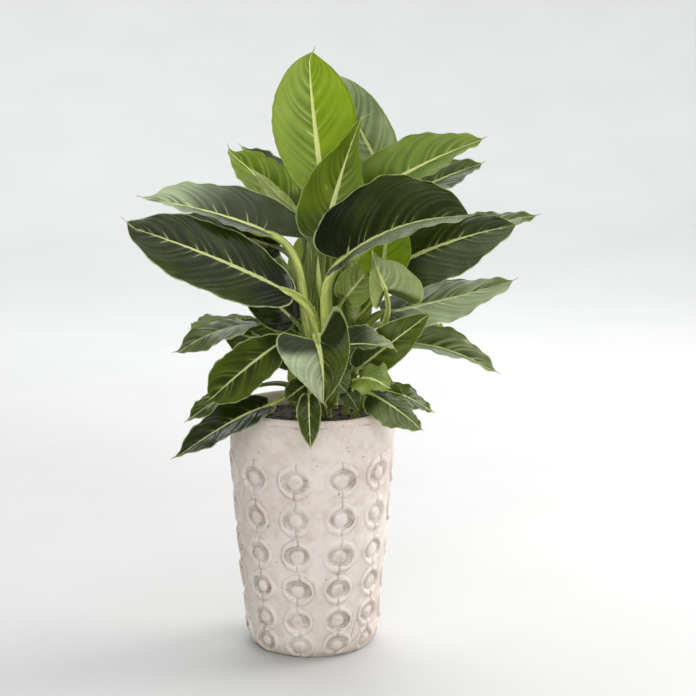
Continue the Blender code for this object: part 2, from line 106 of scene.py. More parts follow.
LEAVES = [
    leaf("top", "main", (2, 4), (16, 20, 644), (-2, 5, 852), 124, (0, -1, 0.1), base=0.85,
         taper=0.75, fold=(26, 22), sweep=(0, -0.03), tone="bright", hook=(10, 8),
         bloom=(0.28, -0.40)),
    leaf("rolled", "main", (-3, -4), (20, -22, 592), (76, -20, 768), 106, (-0.1, -1, 0.1),
         taper=1.3, lobe=(0.06, 0), fold=(0, 5), curl=(-10, 24), sweep=(-0.02, -0.03), twist=49,
         tone="fresh", hook=(4, 12), bloom=(-0.5, 0.1)),
    leaf("back_tall", "back", (0, 0), (108, 95, 658), (24, 80, 819), 86, (0.1, -1, 0.1), base=0.6,
         taper=0.7, tone="grey", relief=1.4, bloom=(0.45, 0.45)),
    leaf("upper_right", "right", (0, 0), (98, 35, 652), (249, 30, 725), 112, (-0.3, -0.5, 0.8),
         fold=(34, 22), lobe=(0.35, 0.1), base=0.35, taper=0.9, tone="fresh", bloom=(0.2, 0.15)),
    leaf("far_right", "back", 425, (128, 110, 631), (256, 150, 683), 85, (0, -0.45, 0.9),
         fold=(20, 20)),
    leaf("upper_left", "left", (0, 0), (-30, 66, 616), (-128, 84, 708), 92, (0.5, -0.65, 0.55),
         fold=(20, 20), tone="fresh", hook=(6, 6)),
    leaf("upper_left_back", "left", 430, (-12, 112, 633), (-112, 146, 710), 62, (0.4, -0.6, 0.7),
         fold=(15, 15), tone="deep"),
    leaf("pale_back", "left", 428, (-24, 40, 618), (-86, 56, 681), 22, (-0.2, 1, -0.3),
         tone="pale"),
    leaf("shade_upper", "left", 418, (-18, 20, 600), (-115, 18, 655), 43, (0.1, -0.3, 0.95),
         fold=(12, 15), lobe=(0, 0), base=0.7),
    leaf("dark_front", "main", 419, (44, -95, 566), (219, -145, 630), 160, (-0.1, -0.35, 0.95),
         arch=(0.13, 0.13), fold=(42, 18), lobe=(0.14, 0.08), base=0.4, taper=0.75, oblique=0.1,
         tone="deep", relief=1.3, bloom=(0, 0.4)),
    leaf("long_left", "main", 424, (-54, -35, 595), (-239, -50, 647), 110, (0.1, -0.2, 0.95),
         fold=(14, 35), lobe=(0.03, 0.35), oblique=-0.15, taper=0.9, tone="silver",
         bloom=(0, 0.4)),
    leaf("big_left", "main", 403, (-25, -92, 520), (-253, -130, 619), 115, (0.1, -0.7, 0.7),
         base=0.65, taper=0.65, fold=(3, 3), curl=(-8, -8), tone="deep", relief=1.6, hook=(8, 6)),
    leaf("mid_left", "left", 404, (-48, 6, 572), (-218, 10, 608), 84, (0.1, -0.6, 0.8),
         tone="deep"),
    leaf("shade_left", "main", 386, (-24, -13, 471), (-102, 17, 537), 71, (0.1, -1, 0.3),
         tone="deep"),
    leaf("curl_left", "low_left", (0, 0), (-74, -12, 466), (-192, -30, 423), 66, (-0.3, 0, 1),
         arch=(0.12, 0.12), fold=(10, 5), twist=60, tone="grey", hook=(6, 0)),
    leaf("low_left_back", "left", 380, (-55, 15, 432), (-133, 30, 451), 72, (0, -0.7, 0.7)),
    leaf("broad_left", "low_left", 385, (-36, -95, 457), (-138, -120, 376), 76,
         (-0.35, -0.75, 0.45), base=0.6, taper=0.45),
    leaf("under_left", "left", 366, (-12, -4, 416), (-88, -6, 455), 58, (-0.1, -0.9, 0.4)),
    leaf("front_hanging", "main", 387, (10, -125, 462), (18, -165, 377), 100, (0, -0.9, 0.4),
         sweep=(-0.06, -0.06), lobe=(0.19, 0.1), reach=(0.5, 0.14), fold=(20, 25), curl=(-15, -30),
         oblique=-0.12, ear=5, base=0.2, taper=1.0, hook=(6, -6), bloom=(0, 1.0)),
    leaf("right_small", "main", 372, (38, -100, 449), (120, -110, 448), 62, (0, -0.5, 0.85),
         arch=(0.08, 0.08), fold=(30, 35), taper=1.1, tone="silver", hook=(-2, 6),
         bloom=(0.5, -0.3)),
    leaf("silver_right", "right", 397, (103, -26, 484), (288, -48, 534), 110, (-0.2, -0.4, 0.9),
         arch=(-0.02, -0.02), fold=(3, 3), tone="grey", relief=1.8, bloom=(0, 0.6)),
    leaf("big_right", "right", 418, (108, -10, 543), (294, -20, 608), 120, (-0.25, -0.7, 0.7),
         fold=(2, 2), sweep=(-0.04, -0.03), tone="deep", relief=1.8, bloom=(0, 0.12)),
    leaf("far_tip_right", "back", 410, (185, 70, 576), (332, 90, 610), 70, (0, -0.4, 0.9),
         hook=(5, 3)),
    leaf("bright_back", "back", 412, (98, -52, 540), (110, -58, 640), 72, (0, -1, 0.1),
         tone="bright"),
    leaf("curly", "right", 380, (102, -88, 522), (82, -99, 583), 80, (-0.2, -1, 0.2),
         fold=(60, -10), lobe=(0.1, 0.3), oblique=-0.25, base=0.35, taper=1.6, wave=5, tone="pale",
         hook=(6, 4), bloom=(-0.6, 0.5)),
    leaf("centre_pale", "right", 366, (46, -34, 504), (92, -30, 560), 52, (0, -1, 0.2),
         tone="pale"),
    leaf("right_mid", "low_right", (0, 0), (66, -76, 414), (168, -88, 496), 56, (0.1, -0.9, 0.4)),
    leaf("right_low", "low_right", 378, (114, 0, 437), (264, -40, 398), 90, (0.1, -0.35, 0.9),
         arch=(0.12, 0.12), fold=(20, 28), tone="grey"),
    leaf("curled_young", "low_right", 370, (66, -104, 405), (110, -132, 395), 62, (0, -0.6, 0.8),
         arch=(0.2, 0.2), wave=5, tone="bright", hook=(8, 4), bloom=(0.5, 0.3)),
    leaf("low_right_back", "right", 365, (76, 2, 374), (132, -12, 363), 46, (0, -0.6, 0.8)),
    leaf("thin_right", "right", 352, (98, 30, 366), (177, 40, 326), 48, (0.3, -0.5, 0.8),
         arch=(0.1, 0.1)),
    leaf("low_right", "low_right", 350, (84, -72, 378), (155, -110, 332), 62, (0.2, -0.6, 0.7),
         fold=(-15, -15), arch=(0.08, 0.08), bloom=(0, 0.25)),
    leaf("low_centre", "main", 352, (48, -48, 378), (67, -66, 352), 30, (0, -0.8, 0.6),
         tone="grey"),
    leaf("low_left", "low_left", 356, (-58, -95, 366), (-187, -140, 299), 68, (-0.2, -0.5, 0.8),
         arch=(0.08, 0.04), fold=(19, 19), tone="deep", hook=(4, 0)),
    leaf("thin_left", "left", 352, (-100, -10, 370), (-178, -40, 329), 50, (-0.2, -0.5, 0.8),
         arch=(0.1, 0.1)),
    leaf("front_small", "main", 337, (-1, -142, 390), (2, -165, 320), 34, (-0.2, -1, 0.3),
         rise=35),
    leaf("stem_left", "low_left", 368, (-6, -78, 392), (-36, -86, 370), 38, (-0.2, -0.8, 0.6)),
    leaf("little_round", "main", 350, (26, -70, 408), (50, -96, 383), 46, (0, -0.9, 0.4),
         tone="grey"),
    # the back of the plant
    leaf("rear_high", "back", 432, (40, 130, 590), (70, 250, 680), 120, (0, -0.4, 0.9)),
    leaf("rear_left_high", "left", 422, (-66, 116, 560), (-188, 200, 610), 108, (0, 0.2, 1)),
    leaf("rear_right_high", "back", 396, (110, 140, 540), (230, 225, 590), 115, (0, 0.2, 1)),
    leaf("rear_centre", "back", 404, (20, 108, 480), (6, 148, 604), 112, (0.1, -1, 0.2),
         arch=(0.08, 0.06), fold=(14, 8), phase=0.3, tone="pale"),
    leaf("rear_left_low", "left", 385, (-80, 90, 455), (-190, 160, 430), 100, (0, 0.3, 1)),
    leaf("rear_right_low", "back", 376, (104, 100, 450), (200, 170, 420), 96, (0, 0.3, 1),
         tone="fresh"),
    leaf("rear_low", "back", 372, (20, 120, 420), (0, 215, 370), 90, (0, 0.5, 1)),
]

FACING_SHARE = 0.5          # share of the blade at which a leaf's "face" is given
BLADE_END = 0.955           # share of the length at which the blade gives way to its drawn-out tip
LOBE_GAIN = 3.2             # how fast the base lobes grow with their share
STALK_LEAST, STALK_PER_WIDTH = 2.4, 0.015       # a stalk's radius, in millimetres
COLLAR_SHARE = (0.42, 0.65)     # of that radius, at the collar of a narrow and of a broad leaf
STALK_ROOT = 0.006          # how far a stalk runs back inside its cane
RIB_END = 0.93              # share of the blade at which the midrib's ridge ends
SEAT_CLEARANCE, TOP_CLEARANCE = 0.0004, 0.0003
# The meshes: length of a row, least and most rows, width of a column in millimetres, least and
# most columns of half a blade, steps of a stalk and of a midrib, and sides of both
BLADE_ROW, BLADE_ROWS, BLADE_COLUMN, BLADE_COLUMNS = 0.0026, (30, 104), 3.6, (6, 15)
STALK_STEPS, RIB_STEPS, TUBE_SIDES = 26, 40, 20


# ---- settings

def length_of(name, description, default):
    return bpy.props.FloatProperty(
        name=name, description=description, default=default, unit="LENGTH")


def angle_of(name, description, degrees):
    return bpy.props.FloatProperty(
        name=name, description=description, default=math.radians(degrees), unit="ROTATION")


def colour_of(name, description, default):
    return bpy.props.FloatVectorProperty(
        name=name, description=description, default=default, subtype="COLOR", min=0, max=1)


def power_of(name, description, default):
    return bpy.props.FloatProperty(
        name=name, description=description, default=default, min=0, unit="POWER")


def number_of(name, description, default, least, most):
    return bpy.props.IntProperty(
        name=name, description=description, default=default, min=least, max=most)


class PotSettings(bpy.types.PropertyGroup):
    """The clay pot and the rings pressed into its wall."""
    columns: number_of("Ring columns", "Columns of rings round the pot", 11, 4, 20)
    first_column: angle_of("First column", "Turn of the first column from the front", -10.5)
    relief: length_of("Relief", "Height of the raised bands over the wall", 0.0025)
    wall: length_of("Wall", "Thickness of the pot's wall", 0.010)
    wash: colour_of("Wash", "Pale wash over the clay", (0.75, 0.70, 0.645))
    clay: colour_of("Clay", "Pinkish clay where the wash is thin", (0.60, 0.48, 0.425))
    # the stain also paints shade: it darkens the recesses, partly as dirt and partly as painted
    # shade
    stain_and_shade: colour_of("Stain", "Grey-brown dirt in the recesses", (0.20, 0.165, 0.125))


class SoilSettings(bpy.types.PropertyGroup):
    """Potting soil with crumbs and chips of bark."""
    crumbs: number_of("Crumbs", "Loose crumbs on the soil", 420, 0, 2000)
    chips: number_of("Bark chips", "Chips of bark on the soil", 90, 0, 600)
    earth: colour_of("Earth", "Colour of the moist soil", (0.035, 0.024, 0.016))
    bark: colour_of("Bark", "Colour of the bark chips", (0.13, 0.075, 0.04))


class CaneSettings(bpy.types.PropertyGroup):
    """The canes that carry the leaves."""
    internode: length_of("Internode", "Distance between leaf scars", 0.019)
    green: colour_of("Green", "Skin of the cane", (0.27, 0.33, 0.08))
    scar: colour_of("Scar", "Rings where old leaves fell", (0.30, 0.25, 0.12))


class LeafSettings(bpy.types.PropertyGroup):
    """Shape and colours that the leaves share."""
    blade: length_of("Blade", "Thickness of a blade", 0.0006)
    stalk_girth: bpy.props.FloatProperty(
        name="Stalk girth", description="Girth of a stalk against the frame's", default=1.5)
    vein_pitch: length_of("Vein pitch", "Distance between side veins along the midrib", 0.018)
    quilt: length_of("Quilting", "Height of the blade between its side veins", 0.0026)
    rib: colour_of("Midrib", "Pale midrib and ticks", (0.78, 0.86, 0.34))
    stalk: colour_of("Stalk", "Leaf stalks", (0.72, 0.80, 0.22))


class StudioSettings(bpy.types.PropertyGroup):
    """Floor, lights and camera."""
    floor: colour_of("Floor", "Plain pale floor", (0.50, 0.50, 0.495))
    key: power_of("Key light", "Window light from the right and behind", 76.0)
    fill: power_of("Fill light", "Soft light from the front", 74.0)
    back: power_of("Back light", "Long soft light from behind and above", 60.0)
    top: power_of("Overhead light", "Broad soft light over the plant", 16.0)
    wash: power_of("Wall wash", "Light on the curved wall behind", 250.0)
    camera_height: length_of("Camera height", "Height of the camera over the floor", 0.823)
    camera_distance: length_of("Camera distance", "Camera's distance in front of the pot", 2.31)
    camera_pitch: angle_of("Camera pitch", "How far the camera looks down", 9.66)


# ---- materials

def operator(operation, swapped=False):
    """A Flow's method that adds the Math node of an arithmetic operator."""
    def method(self, other):
        return self.math(operation, *((other, self) if swapped else (self, other)))
    return method


class Flow:
    """A value on its way through a material. Arithmetic on it adds Math nodes to that material."""
    __add__ = __radd__ = operator("ADD")
    __mul__ = __rmul__ = operator("MULTIPLY")
    __sub__, __rsub__ = operator("SUBTRACT"), operator("SUBTRACT", swapped=True)
    __truediv__, __rtruediv__ = operator("DIVIDE"), operator("DIVIDE", swapped=True)
    __pow__ = operator("POWER")

    def __init__(self, finish, socket):
        self.finish = finish
        self.socket = socket

    def __abs__(self):
        return self.math("ABSOLUTE", self)

    def math(self, operation, *values):
        return self.finish.node("Math", {"operation": operation}, dict(enumerate(values)))

    def clip(self):
        return self.math("MINIMUM", self.math("MAXIMUM", self, 0.0), 1.0)

    def step(self, low, high, start=0.0, end=1.0):
        """Runs smoothly from start to end as the value goes from low to high."""
        return self.finish.node("MapRange", {"interpolation_type": "SMOOTHSTEP"},
                                {0: self, 1: low, 2: high, 3: start, 4: end})

    def line(self):
        """0 at each whole number and 1 midway between."""
        return self.math("PINGPONG", self, 0.5) * 2.0


class Finish:
    """A material, or the studio's sky, under construction."""

    def __init__(self, block):
        block.use_nodes = True
        self.block = block
        self.tree = block.node_tree
        self.tree.nodes.clear()

    def node(self, kind, settings=None, inputs=None, output=0):
        """Adds a node: its settings first, then the values or links of its sockets."""
        made = self.tree.nodes.new("ShaderNode" + kind)
        for name, value in (settings or {}).items():
            setattr(made, name, value)
        for name, value in (inputs or {}).items():
            if isinstance(value, Flow):
                self.tree.links.new(value.socket, made.inputs[name])
            elif made.inputs[name].type == "RGBA":
                made.inputs[name].default_value = (*value[:3], 1.0)
            else:
                made.inputs[name].default_value = value
        return Flow(self, made.outputs[output])

    def mix(self, share, first, second):
        return self.node("Mix", {"data_type": "RGBA"}, {0: share, 6: first, 7: second}, output=2)

    def layers(self, colour, *coats):
        """Lays coats over a colour one by one, each given as its share and its colour."""
        for share, coat in coats:
            colour = self.mix(share, colour, coat)
        return colour

    def attribute(self, name, output="Fac"):
        return self.node("Attribute", {"attribute_name": name}, output=output)

    def parts(self, vector):
        made = self.node("SeparateXYZ", inputs={0: vector})
        return [Flow(self, socket) for socket in made.socket.node.outputs]

    def places(self):
        """Places on the object, in metres."""
        return self.node("TexCoord", output="Object")

    def noise(self, scale, detail=2.0, rough=0.5, vector=None):
        return self.node("TexNoise", inputs={"Vector": vector or self.places(), "Scale": scale,
                                             "Detail": detail, "Roughness": rough})

    def streaks(self, across, along):
        """Noise drawn out up and down a stem."""
        stretched = self.node("Mapping", inputs={"Vector": self.places(),
                                                 "Scale": (across, across, along)})
        return self.noise(1.0, 3.0, vector=stretched)

    def cells(self, scale, feature="F1"):
        return self.node("TexVoronoi", {"feature": feature},
                         {"Vector": self.places(), "Scale": scale})

    def bump(self, height, distance, strength):
        return self.node("Bump", inputs={"Height": height, "Distance": distance,
                                         "Strength": strength})

    def shader(self, **inputs):
        named = {name.replace("_", " "): value for name, value in inputs.items()}
        return self.node("BsdfPrincipled", inputs=named)

    def done(self, shader, output="OutputMaterial"):
        end = self.tree.nodes.new("ShaderNode" + output)
        self.tree.links.new(shader.socket, end.inputs["Surface"])
        return self.block


def new_finish(name):
    return Finish(bpy.data.materials.new(name))


def times(colour, share):
    """A colour, darker by a share."""
    return tuple(share * part for part in colour)


def clay_finish(settings):
    """Low-fired clay under a thin pale wash, with pits, cracks, dirt and painted shade in its
    recesses, and raised bands paled partly by rubbing and partly by a painted highlight.
    """
    algae, rubbed_and_lit, pit, crack = (
        (0.55, 0.56, 0.45), (0.74, 0.69, 0.64), (0.10, 0.085, 0.07), (0.22, 0.18, 0.14))
    make = new_finish("fired_clay")
    grime_and_shade, raised_wear_and_highlight = make.attribute("grime_and_shade"), make.attribute("raised_wear_and_highlight")
    cloud = make.noise(9.0, 4.0, 0.6).step(0.35, 0.68)
    fine = make.noise(60.0, 5.0, 0.65)
    grain = make.noise(420.0, 3.0, 0.6)
    worn = (fine.step(0.40, 0.70) * 0.6 + cloud * 0.5).clip()
    # paler raised bands: partly rubbed wash, partly a painted highlight
    lifted_wear_and_highlight = (raised_wear_and_highlight * 0.55 + fine.step(0.35, 0.7) * 0.25).clip()
    # dirt and painted shade in the recesses, along the rings' outlines and in the groove under the
    # lip
    dirt_and_shade_amount = grime_and_shade.step(0.1, 1.0) * (fine.step(0.25, 0.7) * 0.8 + 0.3)
    pits = make.cells(110.0).step(0.06, 0.22, 1.0, 0.0) * make.noise(38.0, 3.0).step(0.55, 0.70)
    chipped = grime_and_shade.step(0.45, 0.8) * fine.step(0.5, 0.7)
    pits = (pits + chipped * make.cells(150.0).step(0.1, 0.3, 1.0, 0.0)).clip()
    hair = make.cells(15.0, "DISTANCE_TO_EDGE").step(0.0, 0.012, 1.0, 0.0)
    hair = hair * make.noise(8.0, 3.0).step(0.55, 0.66)
    colour = make.layers(
        settings.wash, (worn, settings.clay),
        (make.noise(5.0, 2.0).step(0.5, 0.75) * 0.35, algae),
        (lifted_wear_and_highlight * 0.7, rubbed_and_lit), ((dirt_and_shade_amount * 0.9).clip(), settings.stain_and_shade),
        (pits * 0.7, pit), (hair * 0.55, crack))
    height = fine * 0.6 + grain * 0.25 - pits * 0.9 - hair * 0.5
    return make.done(make.shader(
        Base_Color=colour, Roughness=0.72 + worn * 0.18, Normal=make.bump(height, 0.0017, 0.85)))


def soil_finish(settings):
    """Moist lumpy soil, and bark where the mark "bark" is set."""
    dry_earth, dark_bark = (0.075, 0.052, 0.034), (0.05, 0.03, 0.018)
    make = new_finish("potting_soil")
    lump = make.noise(70.0, 6.0, 0.7)
    bark = make.mix(make.noise(160.0, 3.0).step(0.3, 0.7), settings.bark, dark_bark)
    colour = make.layers(settings.earth, (lump.step(0.35, 0.7), dry_earth),
                         (make.attribute("bark"), bark))
    height = lump + make.noise(300.0, 4.0, 0.7) * 0.5
    return make.done(make.shader(Base_Color=colour, Roughness=0.8 + lump * 0.18,
                                 Normal=make.bump(height, 0.003, 0.9)))


def cane_finish(settings):
    """Smooth green skin with streaks and corky spots, brown at the scars."""
    pale_skin, cork = (0.26, 0.31, 0.09), (0.13, 0.10, 0.04)
    make = new_finish("cane")
    scar = make.attribute("scar")
    streak = make.streaks(420.0, 30.0)
    colour = make.layers(
        settings.green, (streak.step(0.3, 0.7), pale_skin),
        (make.noise(55.0, 3.0).step(0.55, 0.7) * 0.6, cork), (scar, settings.scar))
    return make.done(make.shader(
        Base_Color=colour, Roughness=0.38 + scar * 0.3,
        Normal=make.bump(streak + scar * 1.5, 0.0008, 0.7)))


# A leaf's upper face in shade and in light, the skin along its side veins, paler partly with
# painted sheen, its under face, the light that shines through, its roughness, how far the painted
# shade at the collar reaches along the blade, and how broad and pale the midrib is
Tone = namedtuple("Tone", "shade light vein back glow rough collar rib")
# the "silver" tone paints a pale sheen into the colour, and the "grey" tone is partly grey-green
# and partly painted sheen
LEAF_TONES = {
    "deep": Tone((0.008, 0.012, 0.001), (0.032, 0.046, 0.005), (0.045, 0.066, 0.010),
                 (0.160, 0.205, 0.060), 0.16, 0.27, 0.3, 0.68),
    "green": Tone((0.018, 0.028, 0.002), (0.086, 0.122, 0.007), (0.120, 0.165, 0.018),
                  (0.210, 0.265, 0.080), 0.24, 0.31, 0.3, 0.72),
    "fresh": Tone((0.105, 0.155, 0.007), (0.250, 0.340, 0.028), (0.310, 0.400, 0.060),
                  (0.310, 0.390, 0.100), 0.40, 0.34, 0.25, 0.85),
    "bright": Tone((0.170, 0.245, 0.008), (0.380, 0.490, 0.036), (0.450, 0.560, 0.080),
                   (0.450, 0.550, 0.130), 0.50, 0.36, 0.12, 1.0),
    "grey": Tone((0.060, 0.085, 0.026), (0.200, 0.250, 0.095), (0.400, 0.460, 0.240),
                 (0.280, 0.340, 0.140), 0.22, 0.32, 0.25, 0.75),
    "silver": Tone((0.130, 0.170, 0.080), (0.440, 0.520, 0.290), (0.560, 0.630, 0.420),
                   (0.340, 0.400, 0.200), 0.15, 0.34, 0.85, 0.8),
    "pale": Tone((0.330, 0.390, 0.110), (0.520, 0.580, 0.220), (0.640, 0.690, 0.340),
                 (0.500, 0.560, 0.210), 0.35, 0.42, 0.1, 0.9),
}
COLLAR_SHADE_GREEN = (0.015, 0.024, 0.003)    # the most colour that the painted shade at the collar keeps
# a painted sheen for whole halves of some blades, a pale margin and a browned tip
PAINTED_SHEEN, MARGIN, BROWNED_TIP = (0.52, 0.60, 0.38), (0.62, 0.72, 0.30), (0.55, 0.58, 0.26)
RIB_BACK, LIGHT_THROUGH = (0.33, 0.40, 0.12), (0.50, 0.62, 0.06)
# painted shade in a stalk's channel and on its lower side
SHADED_STALK_CHANNEL, SHADED_STALK_UNDERSIDE = (0.16, 0.23, 0.03), (0.17, 0.24, 0.04)
SHADED_INNER_STALK = (0.07, 0.105, 0.014)     # painted shade on stalks that stand in the middle of the plant


def stalk_colour(make, along, turn_across, turn_up, bloom, rib_colour, settings):
    """A streaked stalk with painted shade in its channel and below; it pales into the midrib's
    back.
    """
    around = make.node("CombineXYZ", inputs={
        0: turn_across * 5.0, 1: turn_up * 5.0, 2: along * 4.0})
    streak = make.noise(1.0, 4.0, 0.6, vector=around)
    ridge = make.mix(turn_up.step(-0.5, 0.3, 0.7, 0.0), rib_colour, RIB_BACK)
    stem = make.layers(
        times(settings.stalk, 0.5), (streak.step(0.35, 0.65), settings.stalk),
        # painted shade in the channel, on the lower side, and on stalks in the middle of the plant
        (turn_up.step(0.70, 0.95) * 0.75, SHADED_STALK_CHANNEL),
        (turn_up.step(-0.9, 0.1, 0.75, 0.0), SHADED_STALK_UNDERSIDE),
        ((bloom * -1.0).clip(), SHADED_INNER_STALK), (along.step(0.0, 0.45), ridge))
    return stem, streak


def leaf_finish(name, settings):
    """A waxy blade: pale midrib and ticks, quilted side veins, a thin pale margin, a duller back,
    with painted shade and painted sheen laid into its colour.

    The mark "blade" holds the share of the length, the distance from the midrib and half the
    width. On the stalk it holds the distance along it and the turn round it. The mark "growth"
    holds the count of side veins, 1 on the back and 1 on the stalk.
    """
    tone = LEAF_TONES[name]
    rib_colour, dark = times(settings.rib, tone.rib), times(tone.shade, 0.35)
    painted_collar_shade = tuple(min(part, most) for part, most in zip(dark, COLLAR_SHADE_GREEN))
    make = new_finish("leaf_" + name)
    along, across, half = make.parts(make.attribute("blade", "Vector"))
    vein, under, stalk = make.parts(make.attribute("growth", "Vector"))
    bloom = make.attribute("bloom")
    apart = abs(across)
    share = apart / (half + 0.0004)
    near = (1.0 - share).step(0.05, 0.88)
    between, thread = vein.line(), (vein * 3.0).line()
    rag, cloud = make.noise(210.0, 3.0, 0.6), make.noise(14.0, 3.0, 0.55)
    patch = make.noise(30.0, 2.0).step(0.3, 0.7)

    # cloudy green; painted shade darkest between the side veins near the midrib, and paler along
    # them, partly the veins' own colour and partly painted sheen; painted shade at the collar
    vein_pale_and_sheen = between.step(0.0, 1.0, 1.0, 0.0) * (0.05 + near * 0.45)
    upper = make.layers(
        tone.shade, (cloud.step(0.3, 0.72), tone.light),
        (along.step(0.45, 1.0) * 0.45, tone.light),
        (near * between.step(0.15, 0.75) * (0.5 + patch * 0.5), dark),
        (vein_pale_and_sheen * (0.25 + patch * 0.6), tone.vein),
        (thread.step(0.0, 0.5, 1.0, 0.0) * 0.06, tone.light),
        # painted sheen on whole halves, and painted shade where the mark is negative
        ((bloom * (0.55 + cloud * 0.9 - between * 0.4)).clip(), PAINTED_SHEEN),
        ((bloom * -1.0).clip(), tone.shade),
        (along.step(tone.collar * 0.4, tone.collar, 0.94, 0.0), painted_collar_shade))

    # the midrib, and pale wedges that run out from it along the side veins
    uneven = make.noise(48.0, 1.0).step(0.32, 0.70)
    reach = 0.0030 + uneven * half.step(0.015, 0.07, 0.003, 0.028)
    tick = (0.15 * (1.0 - apart / reach) - between).step(-0.03, 0.10)
    rib_wide = (1.0 - along) ** 1.3 * half.step(0.0, 0.06, 0.0, 0.0042) + 0.0006
    rib_wide = rib_wide * (0.7 + rag * 0.6) * (tone.rib * 1.3)
    rib = (apart / rib_wide).step(0.8, 1.2, 1.0, 0.0)
    pale = (rib + tick * 0.72).clip()

    edge = (half - apart - rag * 0.0012).step(0.0003, 0.0013, 1.0, 0.0)
    back = make.mix(between.step(0.0, 0.5) * 0.5, tone.back, times(tone.back, 0.8))
    stem, streak = stalk_colour(make, along, across, half, bloom, rib_colour, settings)
    colour = make.layers(
        upper, (under, back), (pale, rib_colour), (edge * 0.6, MARGIN),
        (stalk.step(0.2, 0.8), stem),
        ((along * (1.0 - stalk)).step(0.955, 0.985), BROWNED_TIP))

    height = between.step(0.0, 1.0) * 0.7 * (1.0 - share * 0.5) + thread * 0.05 + rag * 0.05
    height = height * (1.0 - stalk) + rib * 0.35 + streak * stalk * 0.5
    normal = make.bump(height, 0.0011, 0.8)
    face = make.shader(Base_Color=colour, Normal=normal,
                       Roughness=tone.rough + under * 0.14 + (rag - 0.5) * 0.1,
                       Specular_IOR_Level=0.25, Sheen_Weight=0.05, Sheen_Roughness=0.35,
                       Sheen_Tint=(0.85, 1.0, 0.75))
    through = make.node("BsdfTranslucent", inputs={"Color": LIGHT_THROUGH, "Normal": normal})
    share_through = (1.0 - (pale + stalk).clip() * 0.8) * tone.glow
    return make.done(make.node("MixShader", inputs={0: share_through, 1: face, 2: through}))


def spear_finish():
    """Pale, finely streaked skin of a leaf that is still rolled up."""
    make = new_finish("new_leaf")
    streak = make.streaks(300.0, 14.0)
    colour = make.mix(streak.step(0.3, 0.7), (0.30, 0.38, 0.08), (0.48, 0.56, 0.18))
    return make.done(make.shader(Base_Color=colour, Roughness=0.42,
                                 Normal=make.bump(streak, 0.0005, 0.6)))


def floor_finish(settings):
    """Matt paint with a faint unevenness."""
    make = new_finish("studio_floor")
    colour = make.mix(make.noise(3.0, 3.0).step(0.3, 0.7), settings.floor,
                      times(settings.floor, 0.97))
    return make.done(make.shader(Base_Color=colour, Roughness=0.62))


# ---- shared making

def unit(vector):
    return vector / np.linalg.norm(vector)


def smooth(value, low, high):
    """Runs smoothly from 0 to 1 as the value goes from low to high."""
    t = np.clip((value - low) / (high - low), 0, 1)
    return t * t * (3 - 2 * t)


def thin_line(distance, width):
    """1 on a line, fading within about its width to each side."""
    return np.exp(-(distance / width) ** 2)


def turned_about(across, normal, turn):
    """The directions across and normal to a curve, turned about it."""
    return (across * np.cos(turn) + normal * np.sin(turn),
            normal * np.cos(turn) - across * np.sin(turn))


def circle(sides):
    """Angles of points spaced evenly round a circle."""
    return [2 * math.pi * i / sides for i in range(sides)]


def bezier(points, steps):
    """Places and directions along a cubic curve."""
    a, b, c, d = (np.asarray(p, float) for p in points)
    s = np.asarray(steps, float)[:, None]
    places = (1 - s) ** 3 * a + 3 * s * (1 - s) ** 2 * b + 3 * s ** 2 * (1 - s) * c + s ** 3 * d
    slopes = (1 - s) ** 2 * (b - a) + 2 * s * (1 - s) * (c - b) + s ** 2 * (d - c)
    return places, slopes / np.linalg.norm(slopes, axis=1)[:, None]


def carried(normal, tangents):
    """A normal carried along a curve without turning about it."""
    normals = []
    for tangent in tangents:
        normal = unit(normal - tangent * (normal @ tangent))
        normals.append(normal)
    return normals


def grid_faces(rows, columns, first=0, closed=False, turned=False):
    """Quads over rows of points; closed joins each row's end to its start."""
    faces = []
    for row in range(rows - 1):
        for i in range(columns if closed else columns - 1):
            j = (i + 1) % columns
            low, high = first + row * columns, first + (row + 1) * columns
            quad = (low + i, low + j, high + j, high + i)
            faces.append(quad[::-1] if turned else quad)
    return faces


def ring_round(place, right, up, angles, reach):
    """Points round a place, at a reach for each angle from right towards up."""
    return place + np.outer(np.cos(angles) * reach, right) + np.outer(np.sin(angles) * reach, up)


def tube_faces(rings, sides, first=0):
    """Quads over rings of points, and a face over each end."""
    last = first + (rings - 1) * sides
    return grid_faces(rings, sides, first, closed=True) + [
        tuple(first + i for i in reversed(range(sides))), tuple(last + i for i in range(sides))]


def new_object(name, vertices, faces, finish):
    """Makes a smooth mesh object."""
    mesh = bpy.data.meshes.new(name)
    mesh.from_pydata(np.asarray(vertices, float).tolist(), [], faces)
    mesh.shade_smooth()
    mesh.materials.append(finish)
    made = bpy.data.objects.new(name, mesh)
    bpy.context.scene.collection.objects.link(made)
    return made


def new_piece(name, vertices, faces, finish, slot, node, marks):
    """Makes an object that rides on the root body and stands for a node of the frame."""
    piece = new_object(name, vertices, faces, finish)
    for mark, values in marks.items():
        values = np.asarray(values, np.float32)
        kind, field = ("FLOAT", "value") if values.ndim == 1 else ("FLOAT_VECTOR", "vector")
        layer = piece.data.attributes.new(mark, kind, "POINT")
        layer.data.foreach_set(field, values.ravel())
    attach(piece, "root")
    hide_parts(node)


def wander(place, size, seed=0.0):
    """Smooth noise from -1 to 1 at a place, size across."""
    return noise.noise(Vector(place) / size + Vector((seed, 2 * seed, -seed)))


# ---- pot

